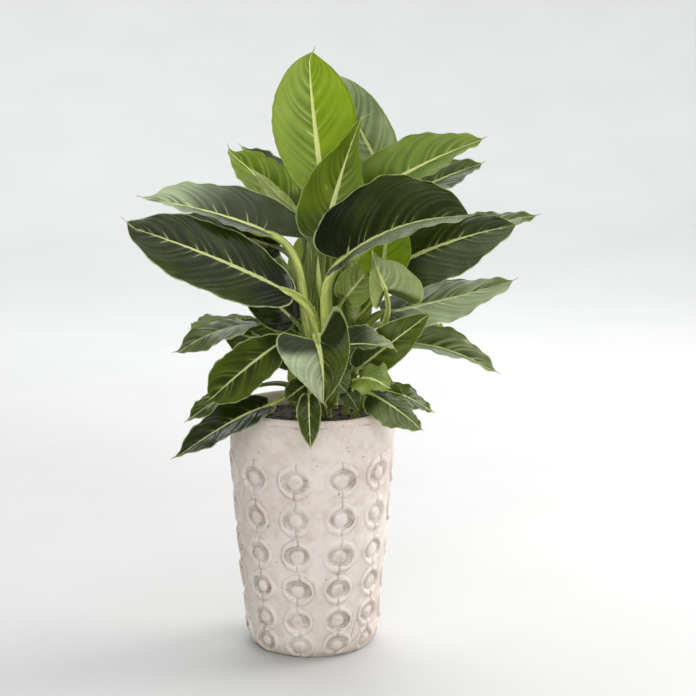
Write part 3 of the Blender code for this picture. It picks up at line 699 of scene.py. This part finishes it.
POT_FOOT_RADIUS, POT_FOOT_HEIGHT = 0.0945, 0.030
POT_SIDES, POT_ROWS = 440, 184
RING_HEIGHTS = (0.263, 0.206, 0.153, 0.104, 0.0575, 0.019)
RING_LEAST, RING_GROWTH = 0.0215, 0.0042 / 0.244    # radius of the lowest rings, and its gain
RING_REACH = 0.034          # farthest that a ring's relief lies from its middle
OPENING_WIDE, OPENING_TALL, DOME_SHARE = 0.76, 0.58, 0.37      # of a ring's outer radius
POT_FLOOR = 0.022           # height of the pot's inner floor
PINHOLE = 0.0005            # radius of what stays open in the middle of its floor and foot


def pot_radius(height):
    """Outer radius of the pot's wall: a taper that eases at the rim, over a rounded foot."""
    if height < POT_FOOT_HEIGHT:
        drop = 1 - height / POT_FOOT_HEIGHT
        return POT_FOOT_RADIUS - 0.0125 * drop ** 2.6
    rise = (height - POT_FOOT_HEIGHT) / (POT_HEIGHT - POT_FOOT_HEIGHT)
    return POT_FOOT_RADIUS + (RIM_RADIUS - POT_FOOT_RADIUS) * (1.24 * rise - 0.24 * rise ** 3)


def one_ring(x, y, radius, seed):
    """Height, dirt with painted shade, and wear with a painted highlight round the middle of one
    ring, which links to those above and below.
    """
    reach, around = np.hypot(x, y), np.arctan2(y + 0.001, x)
    opening = 1 / np.hypot(np.cos(around) / (radius * OPENING_WIDE),
                           np.sin(around) / (radius * OPENING_TALL))
    across = (reach - opening) / (radius - opening)
    ridge = np.sin(np.pi * np.clip(across, 0, 1)) ** 0.7
    ridge = ridge * (0.85 + 0.25 * np.sin(around + seed * 3))
    dome = np.hypot(x, y + 0.0010) / (radius * DOME_SHARE)
    crown = np.sqrt(np.clip(1 - dome ** 2, 0, 1))
    hollow = smooth(-across, -0.05, 0.35) * (1 - smooth(1.25 - dome, 0.0, 0.3))
    slit = thin_line(x, 0.0015) * smooth(np.abs(y), radius * 0.45, radius * 0.6)
    slit *= 1 - smooth(np.abs(y), radius * 1.02, radius * 1.2)
    lift = ridge * 1.35 * (1 - 0.85 * slit) - slit * 0.25 + crown * 0.85 - hollow * 0.55
    # thin painted shadow lines round the opening, the dome and the ring's outer edge
    line = np.maximum(thin_line(reach - opening, 0.0011),
                      0.8 * thin_line((dome - 1.05) * radius * DOME_SHARE, 0.0010))
    line = np.maximum(line, 0.7 * thin_line(reach - radius, 0.0012))
    line *= 0.65 + 0.45 * np.sin(around + 5 * seed)
    # dirt and painted shade: darkest on the outlines, in the hollow and in the slit; the dome
    # somewhat darker
    dirt_and_shade_amount = np.maximum(np.maximum(line, hollow * 0.7), slit * 0.8)
    dirt_and_shade_amount = np.maximum(dirt_and_shade_amount, crown * (0.30 + 0.25 * math.sin(4 * seed)))
    # raised ridge and dome: rubbed wear and a painted highlight
    return lift, dirt_and_shade_amount, np.maximum(ridge, crown * 0.4)


def ring_relief(turn, height, settings):
    """Relief of the pressed rings, how much dirt and painted shade each place holds, and how worn
    and how lit by a painted highlight its rise is.
    """
    rng = random.Random(7)
    pitch = 2 * math.pi / settings.columns
    lift, dirt_and_shade_amount, worn = np.zeros_like(turn), np.zeros_like(turn), np.zeros_like(turn)
    for column in range(settings.columns):
        for z in RING_HEIGHTS:
            radius = RING_LEAST + RING_GROWTH * (z - RING_HEIGHTS[-1])
            centre = settings.first_column + column * pitch + rng.uniform(-1, 1) * 0.012
            middle = z + rng.uniform(-1, 1) * 0.0015
            wide, tilt = rng.uniform(0.95, 1.06), rng.uniform(-0.10, 0.10)
            strength, seed = rng.uniform(0.75, 1.1), rng.uniform(0, 9)
            away = (turn - centre + math.pi) % (2 * math.pi) - math.pi
            x, y = away * pot_radius(max(z, POT_FOOT_HEIGHT)), height - middle
            near = (np.abs(x) < RING_REACH) & (np.abs(y) < RING_REACH)
            x, y = x[near], y[near]
            warp = 0.0006 * np.sin(x * 190 + y * 130 + seed)
            warp = warp + 0.0003 * np.sin(y * 390 - x * 240 + 2 * seed)
            x, y = (x + y * tilt) / wide + warp, y - x * tilt + warp
            rise, held, rubbed_and_lit = one_ring(x, y, radius, seed)
            lift[near] += rise * settings.relief * strength
            dirt_and_shade_amount[near] = np.maximum(dirt_and_shade_amount[near], held * strength)
            # wear on the raised parts, partly a painted highlight
            worn[near] = np.maximum(worn[near], rubbed_and_lit * strength)
    return lift, dirt_and_shade_amount, worn


def even_rings(rings):
    """Rows of radius, height, dirt with painted shade, and wear for rings that are the same all
    round.
    """
    radius, z, dirt_and_shade_amount = np.array(rings).T[:, :, None] * np.ones(POT_SIDES)
    return radius, z, dirt_and_shade_amount, np.zeros_like(dirt_and_shade_amount)


class PLANT_OT_pot(bpy.types.Operator):
    """Builds the clay pot with its pressed rings, inner wall, floor and foot"""
    bl_idname = "plant.pot"
    bl_label = "Clay Pot"

    def execute(self, context):
        settings = context.scene.plant_pot
        lip = settings.wall / 2
        heights = np.linspace(0.0, POT_HEIGHT - lip, POT_ROWS)
        turns = np.linspace(-math.pi, math.pi, POT_SIDES, endpoint=False)
        turn, height = np.meshgrid(turns, heights)
        lift, grime_and_shade, raised_wear_and_highlight = ring_relief(turn, height, settings)

        # the potter's hand, and the worn groove that runs below the lip
        wall = [[(math.sin(t) * 0.12, -math.cos(t) * 0.12, z) for t in turns] for z in heights]
        hand = np.array([[0.0011 * wander(place, 0.055) + 0.0005 * wander(place, 0.014, 3)
                          for place in row] for row in wall])
        chips = np.array([[wander((x, y, z * 2), 0.016, 5) for x, y, z in row] for row in wall])
        groove = thin_line(height - POT_HEIGHT + 0.009 + chips * 0.004, 0.0016)
        groove *= smooth(chips, -0.35, 0.25)
        outer = np.array([pot_radius(z) for z in heights])[:, None] + lift
        outer = outer + (hand - 0.0009 * groove) * smooth(height, 0.0, 0.004)
        # the groove under the lip darkened with dirt and painted shade
        grime_and_shade = np.maximum(grime_and_shade, 0.8 * groove)

        # radius, height, and dirt with painted shade of the rings from under the foot, over the
        # rim, to the
        # bottom: painted shade under the foot and on the inner wall and floor
        foot = [(radius, z, 0.6) for radius, z in
                ((PINHOLE, 0.0025), (0.04, 0.0022), (0.074, 0.0015), (0.079, 0))]
        bends = [math.pi * step / 8 for step in range(1, 8)]
        rim = [(RIM_RADIUS + lip * (math.cos(bend) - 1), POT_HEIGHT + lip * (math.sin(bend) - 1),
                0.1) for bend in bends]
        inside = [(pot_radius(z) - settings.wall, z, 0.35 if z < POT_HEIGHT - 0.02 else 0.1)
                  for z in np.linspace(POT_HEIGHT - lip, POT_FOOT_HEIGHT, 12)]
        bottom = [(radius, POT_FLOOR, 0.5) for radius in (0.076, 0.04, PINHOLE)]
        radius, z, dirt_and_shade_amount, worn = (np.vstack(rows) for rows in zip(
            even_rings(foot), (outer, height, grime_and_shade, raised_wear_and_highlight), even_rings(rim + inside + bottom)))
        sag = 1 + np.sin(turns * 2 + 0.6) * 0.6 + np.sin(turns * 5) * 0.4
        z = z - smooth(z, POT_HEIGHT - 0.05, POT_HEIGHT) * 0.0009 * sag
        vertices = np.stack([radius * np.sin(turns), -radius * np.cos(turns), z], axis=2)
        new_piece("clay_pot", vertices.reshape(-1, 3), grid_faces(len(z), POT_SIDES, closed=True),
                  clay_finish(settings), "fired_clay", "pot",
                  {"grime_and_shade": dirt_and_shade_amount.ravel(), "raised_wear_and_highlight": worn.ravel()})
        return {"FINISHED"}


# ---- soil

SOIL_SIDES, SOIL_ROWS = 120, 46
SOIL_FALL = 0.0045          # how far the mound falls from its middle to the pot's wall
SOIL_SIDE = (0.006, 0.036)  # how far below its top the soil's side starts and ends
# Ranges of half the length, and of breadth and thickness as shares of the length
CRUMB = (0.0008, 0.0028), (0.7, 1), (0.6, 1)
CHIP = (0.0035, 0.008), (0.35, 0.7), (0.18, 0.4)


def soil_height(radius):
    return SOIL_TOP - SOIL_FALL * (radius / SOIL_RADIUS) ** 2


class PLANT_OT_soil(bpy.types.Operator):
    """Builds the soil with its crumbs and bark chips"""
    bl_idname = "plant.soil"
    bl_label = "Potting Soil"

    def execute(self, context):
        settings = context.scene.plant_soil
        rng = random.Random(3)
        vertices = []
        for row in range(SOIL_ROWS):
            radius = SOIL_RADIUS * row / (SOIL_ROWS - 1)
            for turn in circle(SOIL_SIDES):
                x, y = radius * math.cos(turn), radius * math.sin(turn)
                bump = wander((x, y, 0), 0.012) * 0.0016 + wander((x, y, 1), 0.004) * 0.0008
                vertices.append((x, y, soil_height(radius) + bump))
        faces = grid_faces(SOIL_ROWS, SOIL_SIDES, closed=True, turned=True)
        faces += grid_faces(2, SOIL_SIDES, len(vertices), closed=True, turned=True)
        vertices += [(SOIL_RADIUS * math.cos(turn), SOIL_RADIUS * math.sin(turn), SOIL_TOP - depth)
                     for depth in SOIL_SIDE for turn in circle(SOIL_SIDES)]
        bark = [0.0] * len(vertices)

        chunk = bmesh.new()
        bmesh.ops.create_icosphere(chunk, subdivisions=1, radius=1.0)
        ball = [v.co.copy() for v in chunk.verts]
        ball_faces = [tuple(v.index for v in f.verts) for f in chunk.faces]
        chunk.free()
        for number in range(settings.crumbs + settings.chips):
            chip = number >= settings.crumbs
            radius, turn = SOIL_RADIUS * 0.97 * math.sqrt(rng.random()), rng.uniform(0, 2 * math.pi)
            place = Vector((radius * math.cos(turn), radius * math.sin(turn),
                            soil_height(radius) + 0.0006))
            size, broad, flat = (rng.uniform(*limits) for limits in (CHIP if chip else CRUMB))
            stretch = Vector((1, broad, flat))
            spin, lean = rng.uniform(0, math.pi), rng.uniform(-0.35, 0.35)
            first = len(vertices)
            for v in ball:
                p = v * stretch * size * (1 + 0.3 * wander(v, 0.7, number))
                p.z += p.x * lean
                vertices.append(place + Vector((p.x * math.cos(spin) - p.y * math.sin(spin),
                                                p.x * math.sin(spin) + p.y * math.cos(spin), p.z)))
            bark += [1.0 if chip else 0.0] * len(ball)
            faces += [tuple(first + i for i in face) for face in ball_faces]
        new_piece("soil_bed", vertices, faces, soil_finish(settings), "potting_soil", "soil",
                  {"bark": bark})
        return {"FINISHED"}


# ---- canes

CANE_SIDES, CANE_ROWS = 28, 90
CANE_DEPTH = 0.012          # how far a cane runs on below the height of its foot
CANE_SHIFT = 0.0067         # how much higher each cane's scars start than the last one's
ROUND_END = 0.025           # share of a cane's length over which its top rounds off


def cane_axis(cane, height):
    """A point on a cane's axis."""
    foot, top, _ = cane
    low = np.array([foot[0] * MM, foot[1] * MM, CANE_ROOT])
    high = np.array(top) * MM
    return low + (high - low) * (height - low[2]) / (high[2] - low[2])


class PLANT_OT_canes(bpy.types.Operator):
    """Builds the canes, each ringed by the scars of old leaves"""
    bl_idname = "plant.canes"
    bl_label = "Canes"

    def execute(self, context):
        settings = context.scene.plant_cane
        finish = cane_finish(settings)
        for number, (name, cane) in enumerate(CANES.items()):
            low, top = CANE_ROOT - CANE_DEPTH, cane[1][2] * MM
            vertices, scars = [], []
            for t in np.linspace(0, 1, CANE_ROWS):
                height = low + (top - low) * t
                centre = cane_axis(cane, height)
                at = (height + number * CANE_SHIFT) % settings.internode / settings.internode
                scar = thin_line(at - 0.5, 0.07)
                near_end = max(0.0, (t - 1 + ROUND_END) / ROUND_END)
                round_off = min(1.0, math.sqrt(max(0.0, 1 - near_end ** 2)) + 0.02)
                radius = cane[2] * MM * (0.90 + 0.10 * scar - 0.05 * (1 - at)) * round_off
                for turn in circle(CANE_SIDES):
                    lobed = radius * (1 + 0.03 * math.cos(2 * turn + height * 60))
                    vertices.append(centre + (lobed * math.cos(turn), lobed * math.sin(turn), 0))
                    scars.append(scar)
            new_piece("stem_" + name, vertices, tube_faces(CANE_ROWS, CANE_SIDES), finish,
                      "cane", "cane_" + name, {"scar": scars})
        return {"FINISHED"}


# ---- leaves

def stalk_seat(row, collar, stalk_radius):
    """Where the stalk starts on its cane, and the direction in which it leaves."""
    cane = CANES[row["cane"]]
    if isinstance(row["seat"], tuple):
        seat = (np.array(cane[1]) + (*row["seat"], 0)) * MM
        return seat + (0, 0, TOP_CLEARANCE), np.array([0, 0, 1.0])
    centre = cane_axis(cane, row["seat"] * MM)
    out = collar - centre
    out[2] = 0
    out = unit(out)
    slope = math.radians(row["rise"])
    leave = out * math.cos(slope) + np.array([0, 0, math.sin(slope)])
    stand_off = cane[2] * MM + SEAT_CLEARANCE + stalk_radius * math.sin(slope)
    return centre + out * stand_off, leave


def leaf_spine(row, stalk_steps, blade_steps):
    """Curves of a leaf's stalk and midrib, with the upper-face direction at each step."""
    collar, tip = np.array(row["collar"]) * MM, np.array(row["tip"]) * MM
    length = np.linalg.norm(tip - collar)
    along = unit(tip - collar)
    face = np.array(row["face"], float)
    face = unit(face - along * (face @ along))
    right = np.cross(along, face)
    thirds = [collar + along * length * part + face * arch * length + right * sweep * length
              for part, arch, sweep in zip((1 / 3, 2 / 3), row["arch"], row["sweep"])]
    blade, blade_dirs = bezier((collar, *thirds, tip), blade_steps)
    stalk_radius = (STALK_LEAST + STALK_PER_WIDTH * row["width"]) * MM
    seat, leave = stalk_seat(row, collar, stalk_radius)
    distance = np.linalg.norm(collar - seat)
    out, back = row["reach"]
    stalk, stalk_dirs = bezier((seat, seat + leave * out * distance,
                                collar - blade_dirs[0] * back * distance, collar), stalk_steps)
    middle = int(np.argmin(np.abs(blade_steps - FACING_SHARE)))
    to_tip = carried(face, blade_dirs[middle:])
    to_seat = carried(face, [*blade_dirs[middle::-1], *stalk_dirs[::-1]])[1:]
    normals = np.array([*to_seat[::-1], *to_tip])
    count = len(stalk_steps)
    return ((stalk, stalk_dirs, normals[:count]), (blade, blade_dirs, normals[count:]),
            stalk_radius, length)


def half_width(row, s):
    """Half the blade's width at a share of its length: a rounded base and a drawn-out tip."""
    base, taper = row["base"], row["taper"]
    widest = base / (base + taper)
    peak = widest ** base * (1 - widest) ** taper
    t = np.clip(s / BLADE_END, 0, 1)
    blade = row["width"] * MM / 2 * t ** base * (1 - t) ** taper / peak
    thread = 0.0011 * np.clip((1.0 - s) / (1.0 - BLADE_END), 0.15, 1) * smooth(s, 0.6, 0.95)
    return np.maximum(blade, thread)


def vein_number(row, s, u, length, pitch):
    """Counts side veins, which leave the midrib forwards and bend unevenly towards the tip."""
    count = max(6.0, length / pitch)
    slender = row["width"] * MM / length
    origin = s - slender * (0.40 * np.abs(u) + 0.26 * np.abs(u) ** 2.4) + 1
    turns = 2 * np.pi * origin + row["seed"]
    uneven = 0.24 * np.sin(3.1 * turns + (u > 0) * 1.7)
    uneven = uneven + 0.18 * np.sin(5.3 * turns + (u < 0) * 2.9)
    return count * origin + uneven


def blade_grid(row, s, u, spine, length, settings):
    """Upper points and normals of the blade over a grid of stations s and shares u across."""
    places, tangents, normals = spine
    s, u = s[:, None], u[None, :]
    sign = np.where(u < 0, -1.0, 1.0)
    side = sign > 0

    def pick(pair):
        """The left or the right value of a habit, by the half of the blade."""
        return np.where(side, pair[1], pair[0])

    turn = np.radians(row["twist"]) * s[:, :, None]
    across = np.cross(tangents, normals)[:, None, :]
    normal = normals[:, None, :]
    right, up = turned_about(across, normal, turn)
    half = half_width(row, s) * (1 - sign * row["oblique"])
    fold, curl = np.radians(pick(row["fold"])), np.radians(pick(row["curl"]))
    middle = fold + curl * np.abs(u) / 2
    vein = vein_number(row, s, u, length, settings.vein_pitch)
    ridge = np.abs(np.sin(np.pi * vein))
    span = half * np.abs(u) * (1 + 0.022 * (ridge - 0.6) * np.abs(u) ** 5)
    wave = row["wave"] * MM * np.sin(2 * np.pi * (2.6 * s + row["phase"] + 0.37 * side))
    frill = 0.0013 * np.sin(2 * np.pi * (7.3 * s + 0.31 * side + row["phase"])) * np.abs(u) ** 4
    lift = span * np.sin(middle) + (wave * u * u + frill) * np.minimum(1, half / (10 * MM))
    fullness = 2 * half_width(row, s) / (row["width"] * MM)
    lobe = pick(row["lobe"]) * length * LOBE_GAIN * np.abs(u) ** row["ear"]
    back = lobe * fullness * (1 - s) ** 5
    depth = row["relief"] * (0.72 + 0.28 * np.sin(2.4 * np.floor(vein) + 1.3 * sign + row["seed"]))
    puff = ridge ** 1.5 * np.abs(u) ** 0.35 * (1 - np.abs(u)) ** 1.1
    puff = puff * np.minimum(1, half / (26 * MM)) * smooth(s, 0.02, 0.2)
    lift = lift + settings.quilt * depth * puff
    hook = smooth(s, BLADE_END - 0.07, 1.0) ** 1.5
    point = (places[:, None, :] + right * (sign * span * np.cos(middle))[:, :, None]
             + up * lift[:, :, None] - tangents[:, None, :] * back[:, :, None]
             + (normal * row["hook"][0] + across * row["hook"][1]) * MM * hook[:, :, None])
    tilt = (fold + curl * np.abs(u))[:, :, None]
    skin = up * np.cos(tilt) - right * sign[:, :, None] * np.sin(tilt)
    # painted sheen on a half where positive, painted shade where negative
    bloom = pick(row["bloom"]) * smooth(np.abs(u), 0.0, 0.15)
    return point, skin, vein, sign * span, half, bloom


def blade_skins(row, s, spine, length, settings):
    """The two skins of a blade, closed round its rim, with the marks of their points."""
    half_count = int(np.clip(row["width"] / 2 / BLADE_COLUMN, *BLADE_COLUMNS))
    side = (np.arange(1, half_count + 1) / half_count) ** 1.35
    u = np.concatenate([-side[::-1], [0.0], side])
    point, skin, vein, across, half, bloom = blade_grid(row, s, u, spine, length, settings)
    thin = settings.blade * np.minimum(1, np.abs(1 - np.abs(u)) * 4 + 0.15)[None, :, None]
    rows, columns = len(s), len(u)
    count = rows * columns
    faces = grid_faces(rows, columns, turned=True) + grid_faces(rows, columns, count)
    for low in range(0, count - columns, columns):
        for column in (0, columns - 1):
            a, b = low + column, low + columns + column
            rim = (a, b, b + count, a + count)
            faces.append(rim if column == 0 else rim[::-1])
    full = np.ones((rows, columns))
    blade = np.stack([s[:, None] * full, across * full, half * full], axis=2).reshape(-1, 3)
    growth = np.stack([(vein * full).ravel(), np.zeros(count), np.zeros(count)], axis=1)
    bloom = (bloom * full).ravel()
    vertices = np.concatenate([point.reshape(-1, 3), (point - skin * thin).reshape(-1, 3)])
    return vertices, faces, {"blade": np.concatenate([blade, blade]),
                             "growth": np.concatenate([growth, growth + (0, 1, 0)]),
                             "bloom": np.concatenate([bloom, bloom])}


def stalk_tube(row, stalk_steps, spine, stalk_radius, settings):
    """The stalk, channelled above and winged at its foot, runs on under the blade as its midrib."""
    rib_steps = np.linspace(0, RIB_END, RIB_STEPS)
    rib_spine, length = leaf_spine(row, stalk_steps, rib_steps)[1::2]
    angles = np.array(circle(TUBE_SIDES))
    from_top = np.abs(angles - math.pi / 2)
    groove, edges = thin_line(from_top, 0.50), thin_line(from_top - 0.95, 0.28)
    broad = smooth(row["width"], 40, 110)
    slim, stout = COLLAR_SHARE
    collar_radius = 0.86 * stalk_radius * (slim + (stout - slim) * broad)
    girth = settings.stalk_girth * (1 + 0.55 * smooth(row["width"], 50, 110))
    rings, blade = [], []

    def ring(place, right, up, radius, channel, wing, travel):
        reach = radius * (1 - channel * groove + wing * edges)
        rings.append(ring_round(place, right, up, angles, reach))
        blade.append(np.stack([np.full(TUBE_SIDES, travel * 12), np.cos(angles), np.sin(angles)],
                              axis=1))

    distance = np.linalg.norm(spine[0][0] - spine[0][-1])
    for t, place, tangent, up in zip(stalk_steps, *spine):
        radius = (stalk_radius + (collar_radius - stalk_radius) * t) * girth
        radius *= 0.5 + 0.5 * smooth(t, 0.0, 0.10)
        sheath = 1 - smooth(t, 0.25, 0.8)
        if t == 0:
            place = place - tangent * STALK_ROOT
        ring(place, np.cross(tangent, up), up, radius, 0.25 + 0.12 * sheath, 0.10 + 0.20 * sheath,
             -t * distance)
    for t, place, tangent, normal in [*zip(rib_steps, *rib_spine)][1:]:
        radius = collar_radius * girth * (1 - t) ** 1.15 + 0.0004
        right, up = turned_about(np.cross(tangent, normal), normal,
                                 math.radians(row["twist"]) * t)
        place = place - up * radius * (0.96 * smooth(t, 0.0, 0.10))
        ring(place, right, up, radius, 0.25 * (1 - min(1, t * 9)), 0.0, t * length)
    # painted shade on the stalks of leaves whose collar stands behind the plant's front
    inside = -0.7 if row["collar"][1] > -30 else 0.0
    tube = np.concatenate(rings)
    return tube, {"blade": np.concatenate(blade), "bloom": np.full(len(tube), inside),
                  "growth": np.tile([0.5, 0.0, 1.0], (len(tube), 1))}


def leaf_mesh(row, settings):
    """Vertices, faces and marks of one leaf."""
    length = np.linalg.norm(np.array(row["tip"]) - np.array(row["collar"])) * MM
    k = np.linspace(0, 1, int(np.clip(length / BLADE_ROW, *BLADE_ROWS)))
    s = 0.6 * k + 0.2 * (1 - np.cos(math.pi * k))
    stalk_steps = np.linspace(0, 1, STALK_STEPS)
    stalk_spine, blade_spine, stalk_radius, length = leaf_spine(row, stalk_steps, s)
    blade, faces, marks = blade_skins(row, s, blade_spine, length, settings)
    tube, tube_marks = stalk_tube(row, stalk_steps, stalk_spine, stalk_radius, settings)
    faces += tube_faces(len(tube) // TUBE_SIDES, TUBE_SIDES, len(blade))
    return np.concatenate([blade, tube]), faces, {
        name: np.concatenate([marks[name], tube_marks[name]]) for name in marks}


BRIGHT_SLOT = {"top", "bright_back", "centre_pale", "pale_back"}
SPEAR_STEPS, SPEAR_SIDES = 60, 28


class PLANT_OT_leaves(bpy.types.Operator):
    """Builds every leaf of the table, each with its stalk"""
    bl_idname = "plant.leaves"
    bl_label = "Leaves"

    def execute(self, context):
        settings = context.scene.plant_leaf
        tones = sorted({row["tone"] for row in LEAVES})
        finishes = {tone: leaf_finish(tone, settings) for tone in tones}
        for row in LEAVES:
            name = row["name"]
            vertices, faces, marks = leaf_mesh(row, settings)
            new_piece("blade_" + name, vertices, faces, finishes[row["tone"]],
                      "bright_leaf" if name in BRIGHT_SLOT else "leaf", "leaf_" + name, marks)
        return {"FINISHED"}


class PLANT_OT_spear(bpy.types.Operator):
    """Builds the newest leaf, still rolled into a spear"""
    bl_idname = "plant.spear"
    bl_label = "Spear"

    def execute(self, context):
        top = np.array(CANES[SPEAR["cane"]][1]) * MM
        foot = top + np.array([*SPEAR["seat"], 0]) * MM
        tip = np.array(SPEAR["tip"]) * MM
        upright = np.array([0, 0, np.linalg.norm(tip - foot) * 0.5])
        steps = np.linspace(0, 1, SPEAR_STEPS)
        places, tangents = bezier((foot, foot + upright, tip - upright, tip), steps)
        normals = carried(np.array([0, -1.0, 0]), tangents)
        angles = np.array(circle(SPEAR_SIDES))
        rings = []
        for t, place, tangent, normal in zip(steps, places, tangents, normals):
            girth = SPEAR["radius"] * MM * (0.95 + 0.15 * math.sin(math.pi * t))
            girth *= (1 - t ** 5) ** 0.8
            seam = (angles - 1.1 - 2.2 * t) % (2 * math.pi) / (2 * math.pi)
            reach = girth * (1 + 0.20 * (seam - 0.5)) + 0.0002
            rings.append(ring_round(place, np.cross(tangent, normal), normal, angles, reach))
        new_piece("rolled_spear", np.concatenate(rings), tube_faces(SPEAR_STEPS, SPEAR_SIDES),
                  spear_finish(), "new_leaf", "spear", {})
        return {"FINISHED"}


# ---- studio

WARM, COOL = (1.0, 0.985, 0.955), (0.97, 0.985, 1.0)
LOW_SHARE = 0.35            # share of the fill light that stands low
FLOOR_SIDES, FLOOR_BEND_STEPS = 96, 17
FLOOR_FLAT = (0.02, 1.0, 2.5)       # radii of the floor's level rings
FLOOR_BEND = (3.2, 4.3, 3.0)        # radius at which it bends up, and the bend's reach and height
CAMERA_SIDE = 0.0515        # how far right of the pot's middle the camera stands
SENSOR, FOCAL_SHARE = 36.0, 1650.0 / 696.0      # focal length against the sensor's width


def area_light(name, place, aim_height, size, power, colour, aim_depth=0):
    light = bpy.data.lights.new(name, "AREA")
    light.shape = "RECTANGLE"
    light.size, light.size_y = size
    light.energy = power
    light.color = colour
    lamp = bpy.data.objects.new(name, light)
    lamp.visible_camera = False
    lamp.location = place
    aim = Vector((0, aim_depth, aim_height))
    lamp.rotation_euler = (aim - Vector(place)).to_track_quat("-Z", "Y").to_euler()
    bpy.context.scene.collection.objects.link(lamp)


class PLANT_OT_studio(bpy.types.Operator):
    """Sets up the floor, the lights and the camera"""
    bl_idname = "plant.studio"
    bl_label = "Studio"

    def execute(self, context):
        settings = context.scene.plant_studio
        scene = context.scene
        foot, reach, rise = FLOOR_BEND
        profile = [(radius, 0.0) for radius in FLOOR_FLAT] + [
            (foot + reach * math.sin(bend), rise * (1 - math.cos(bend)))
            for bend in np.linspace(0, math.pi / 2, FLOOR_BEND_STEPS)]
        vertices = [(radius * math.sin(turn), radius * math.cos(turn), z)
                    for radius, z in profile for turn in circle(FLOOR_SIDES)]
        faces = grid_faces(len(profile), FLOOR_SIDES, closed=True)
        faces.append(tuple(range(FLOOR_SIDES)))
        new_object("studio_floor", vertices, faces, floor_finish(settings))

        sky = Finish(bpy.data.worlds.new("studio_sky"))
        side, depth, rise = sky.parts(sky.node("TexCoord", output="Generated"))
        glow = 0.13 + depth.step(-0.2, 0.9) * 0.6 + side.step(-0.2, 1.0) * 0.4
        glow = glow + rise.step(0.3, 1.0) * 0.5
        scene.world = sky.done(sky.node("Background", inputs={
            "Color": (0.97, 0.98, 1.0), "Strength": glow}), "OutputWorld")
        low, high = settings.fill * LOW_SHARE, settings.fill * (1 - LOW_SHARE)
        area_light("window_light", (2.3, 1.0, 1.7), 0.40, (1.8, 1.8), settings.key, WARM)
        area_light("low_fill", (-0.9, -3.3, 1.1), 0.30, (2.8, 0.9), low, WARM)
        area_light("high_fill", (0.9, -2.8, 2.5), 0.35, (2.8, 1.8), high, WARM)
        area_light("back_glow", (-0.3, 2.8, 2.3), 0.55, (4.5, 1.2), settings.back, COOL)
        area_light("overhead", (0.3, 0.5, 2.7), 0.6, (2.6, 1.8), settings.top, COOL)
        area_light("wall_wash", (0, 3.2, 3.6), 1.2, (7.0, 1.0), settings.wash, COOL, aim_depth=7.2)

        camera = bpy.data.cameras.new("camera")
        camera.sensor_width = SENSOR
        camera.lens = FOCAL_SHARE * SENSOR
        view = bpy.data.objects.new("camera", camera)
        view.location = (CAMERA_SIDE, -settings.camera_distance, settings.camera_height)
        view.rotation_euler = (math.pi / 2 - settings.camera_pitch, 0, 0)
        scene.collection.objects.link(view)
        scene.camera = view
        scene.view_settings.view_transform = "Standard"
        return {"FINISHED"}


# ---- panel and running

# name of the settings in the scene, their group, and the operator that uses them
SECTIONS = (
    ("plant_pot", PotSettings, PLANT_OT_pot),
    ("plant_soil", SoilSettings, PLANT_OT_soil),
    ("plant_cane", CaneSettings, PLANT_OT_canes),
    ("plant_leaf", LeafSettings, PLANT_OT_leaves),
    ("", None, PLANT_OT_spear),
    ("plant_studio", StudioSettings, PLANT_OT_studio),
)


class PLANT_PT_panel(bpy.types.Panel):
    bl_idname = "PLANT_PT_panel"
    bl_label = "Potted Dieffenbachia"
    bl_space_type = "VIEW_3D"
    bl_region_type = "UI"
    bl_category = "Dieffenbachia"

    def draw(self, context):
        for name, group, operator_class in SECTIONS:
            box = self.layout.box()
            box.label(text=operator_class.bl_label)
            for prop in group.__annotations__ if group else ():
                box.prop(getattr(context.scene, name), prop)
            box.operator(operator_class.bl_idname)


def register():
    for name, group, operator_class in SECTIONS:
        if group:
            bpy.utils.register_class(group)
            setattr(bpy.types.Scene, name, bpy.props.PointerProperty(type=group))
        bpy.utils.register_class(operator_class)
    bpy.utils.register_class(PLANT_PT_panel)


def unregister():
    bpy.utils.unregister_class(PLANT_PT_panel)
    for name, group, operator_class in reversed(SECTIONS):
        bpy.utils.unregister_class(operator_class)
        if group:
            delattr(bpy.types.Scene, name)
            bpy.utils.unregister_class(group)


def main():
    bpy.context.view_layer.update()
    register()
    bpy.ops.plant.studio()
    bpy.ops.plant.pot()
    bpy.ops.plant.soil()
    bpy.ops.plant.canes()
    bpy.ops.plant.leaves()
    bpy.ops.plant.spear()


if __name__ == "__main__":
    main()
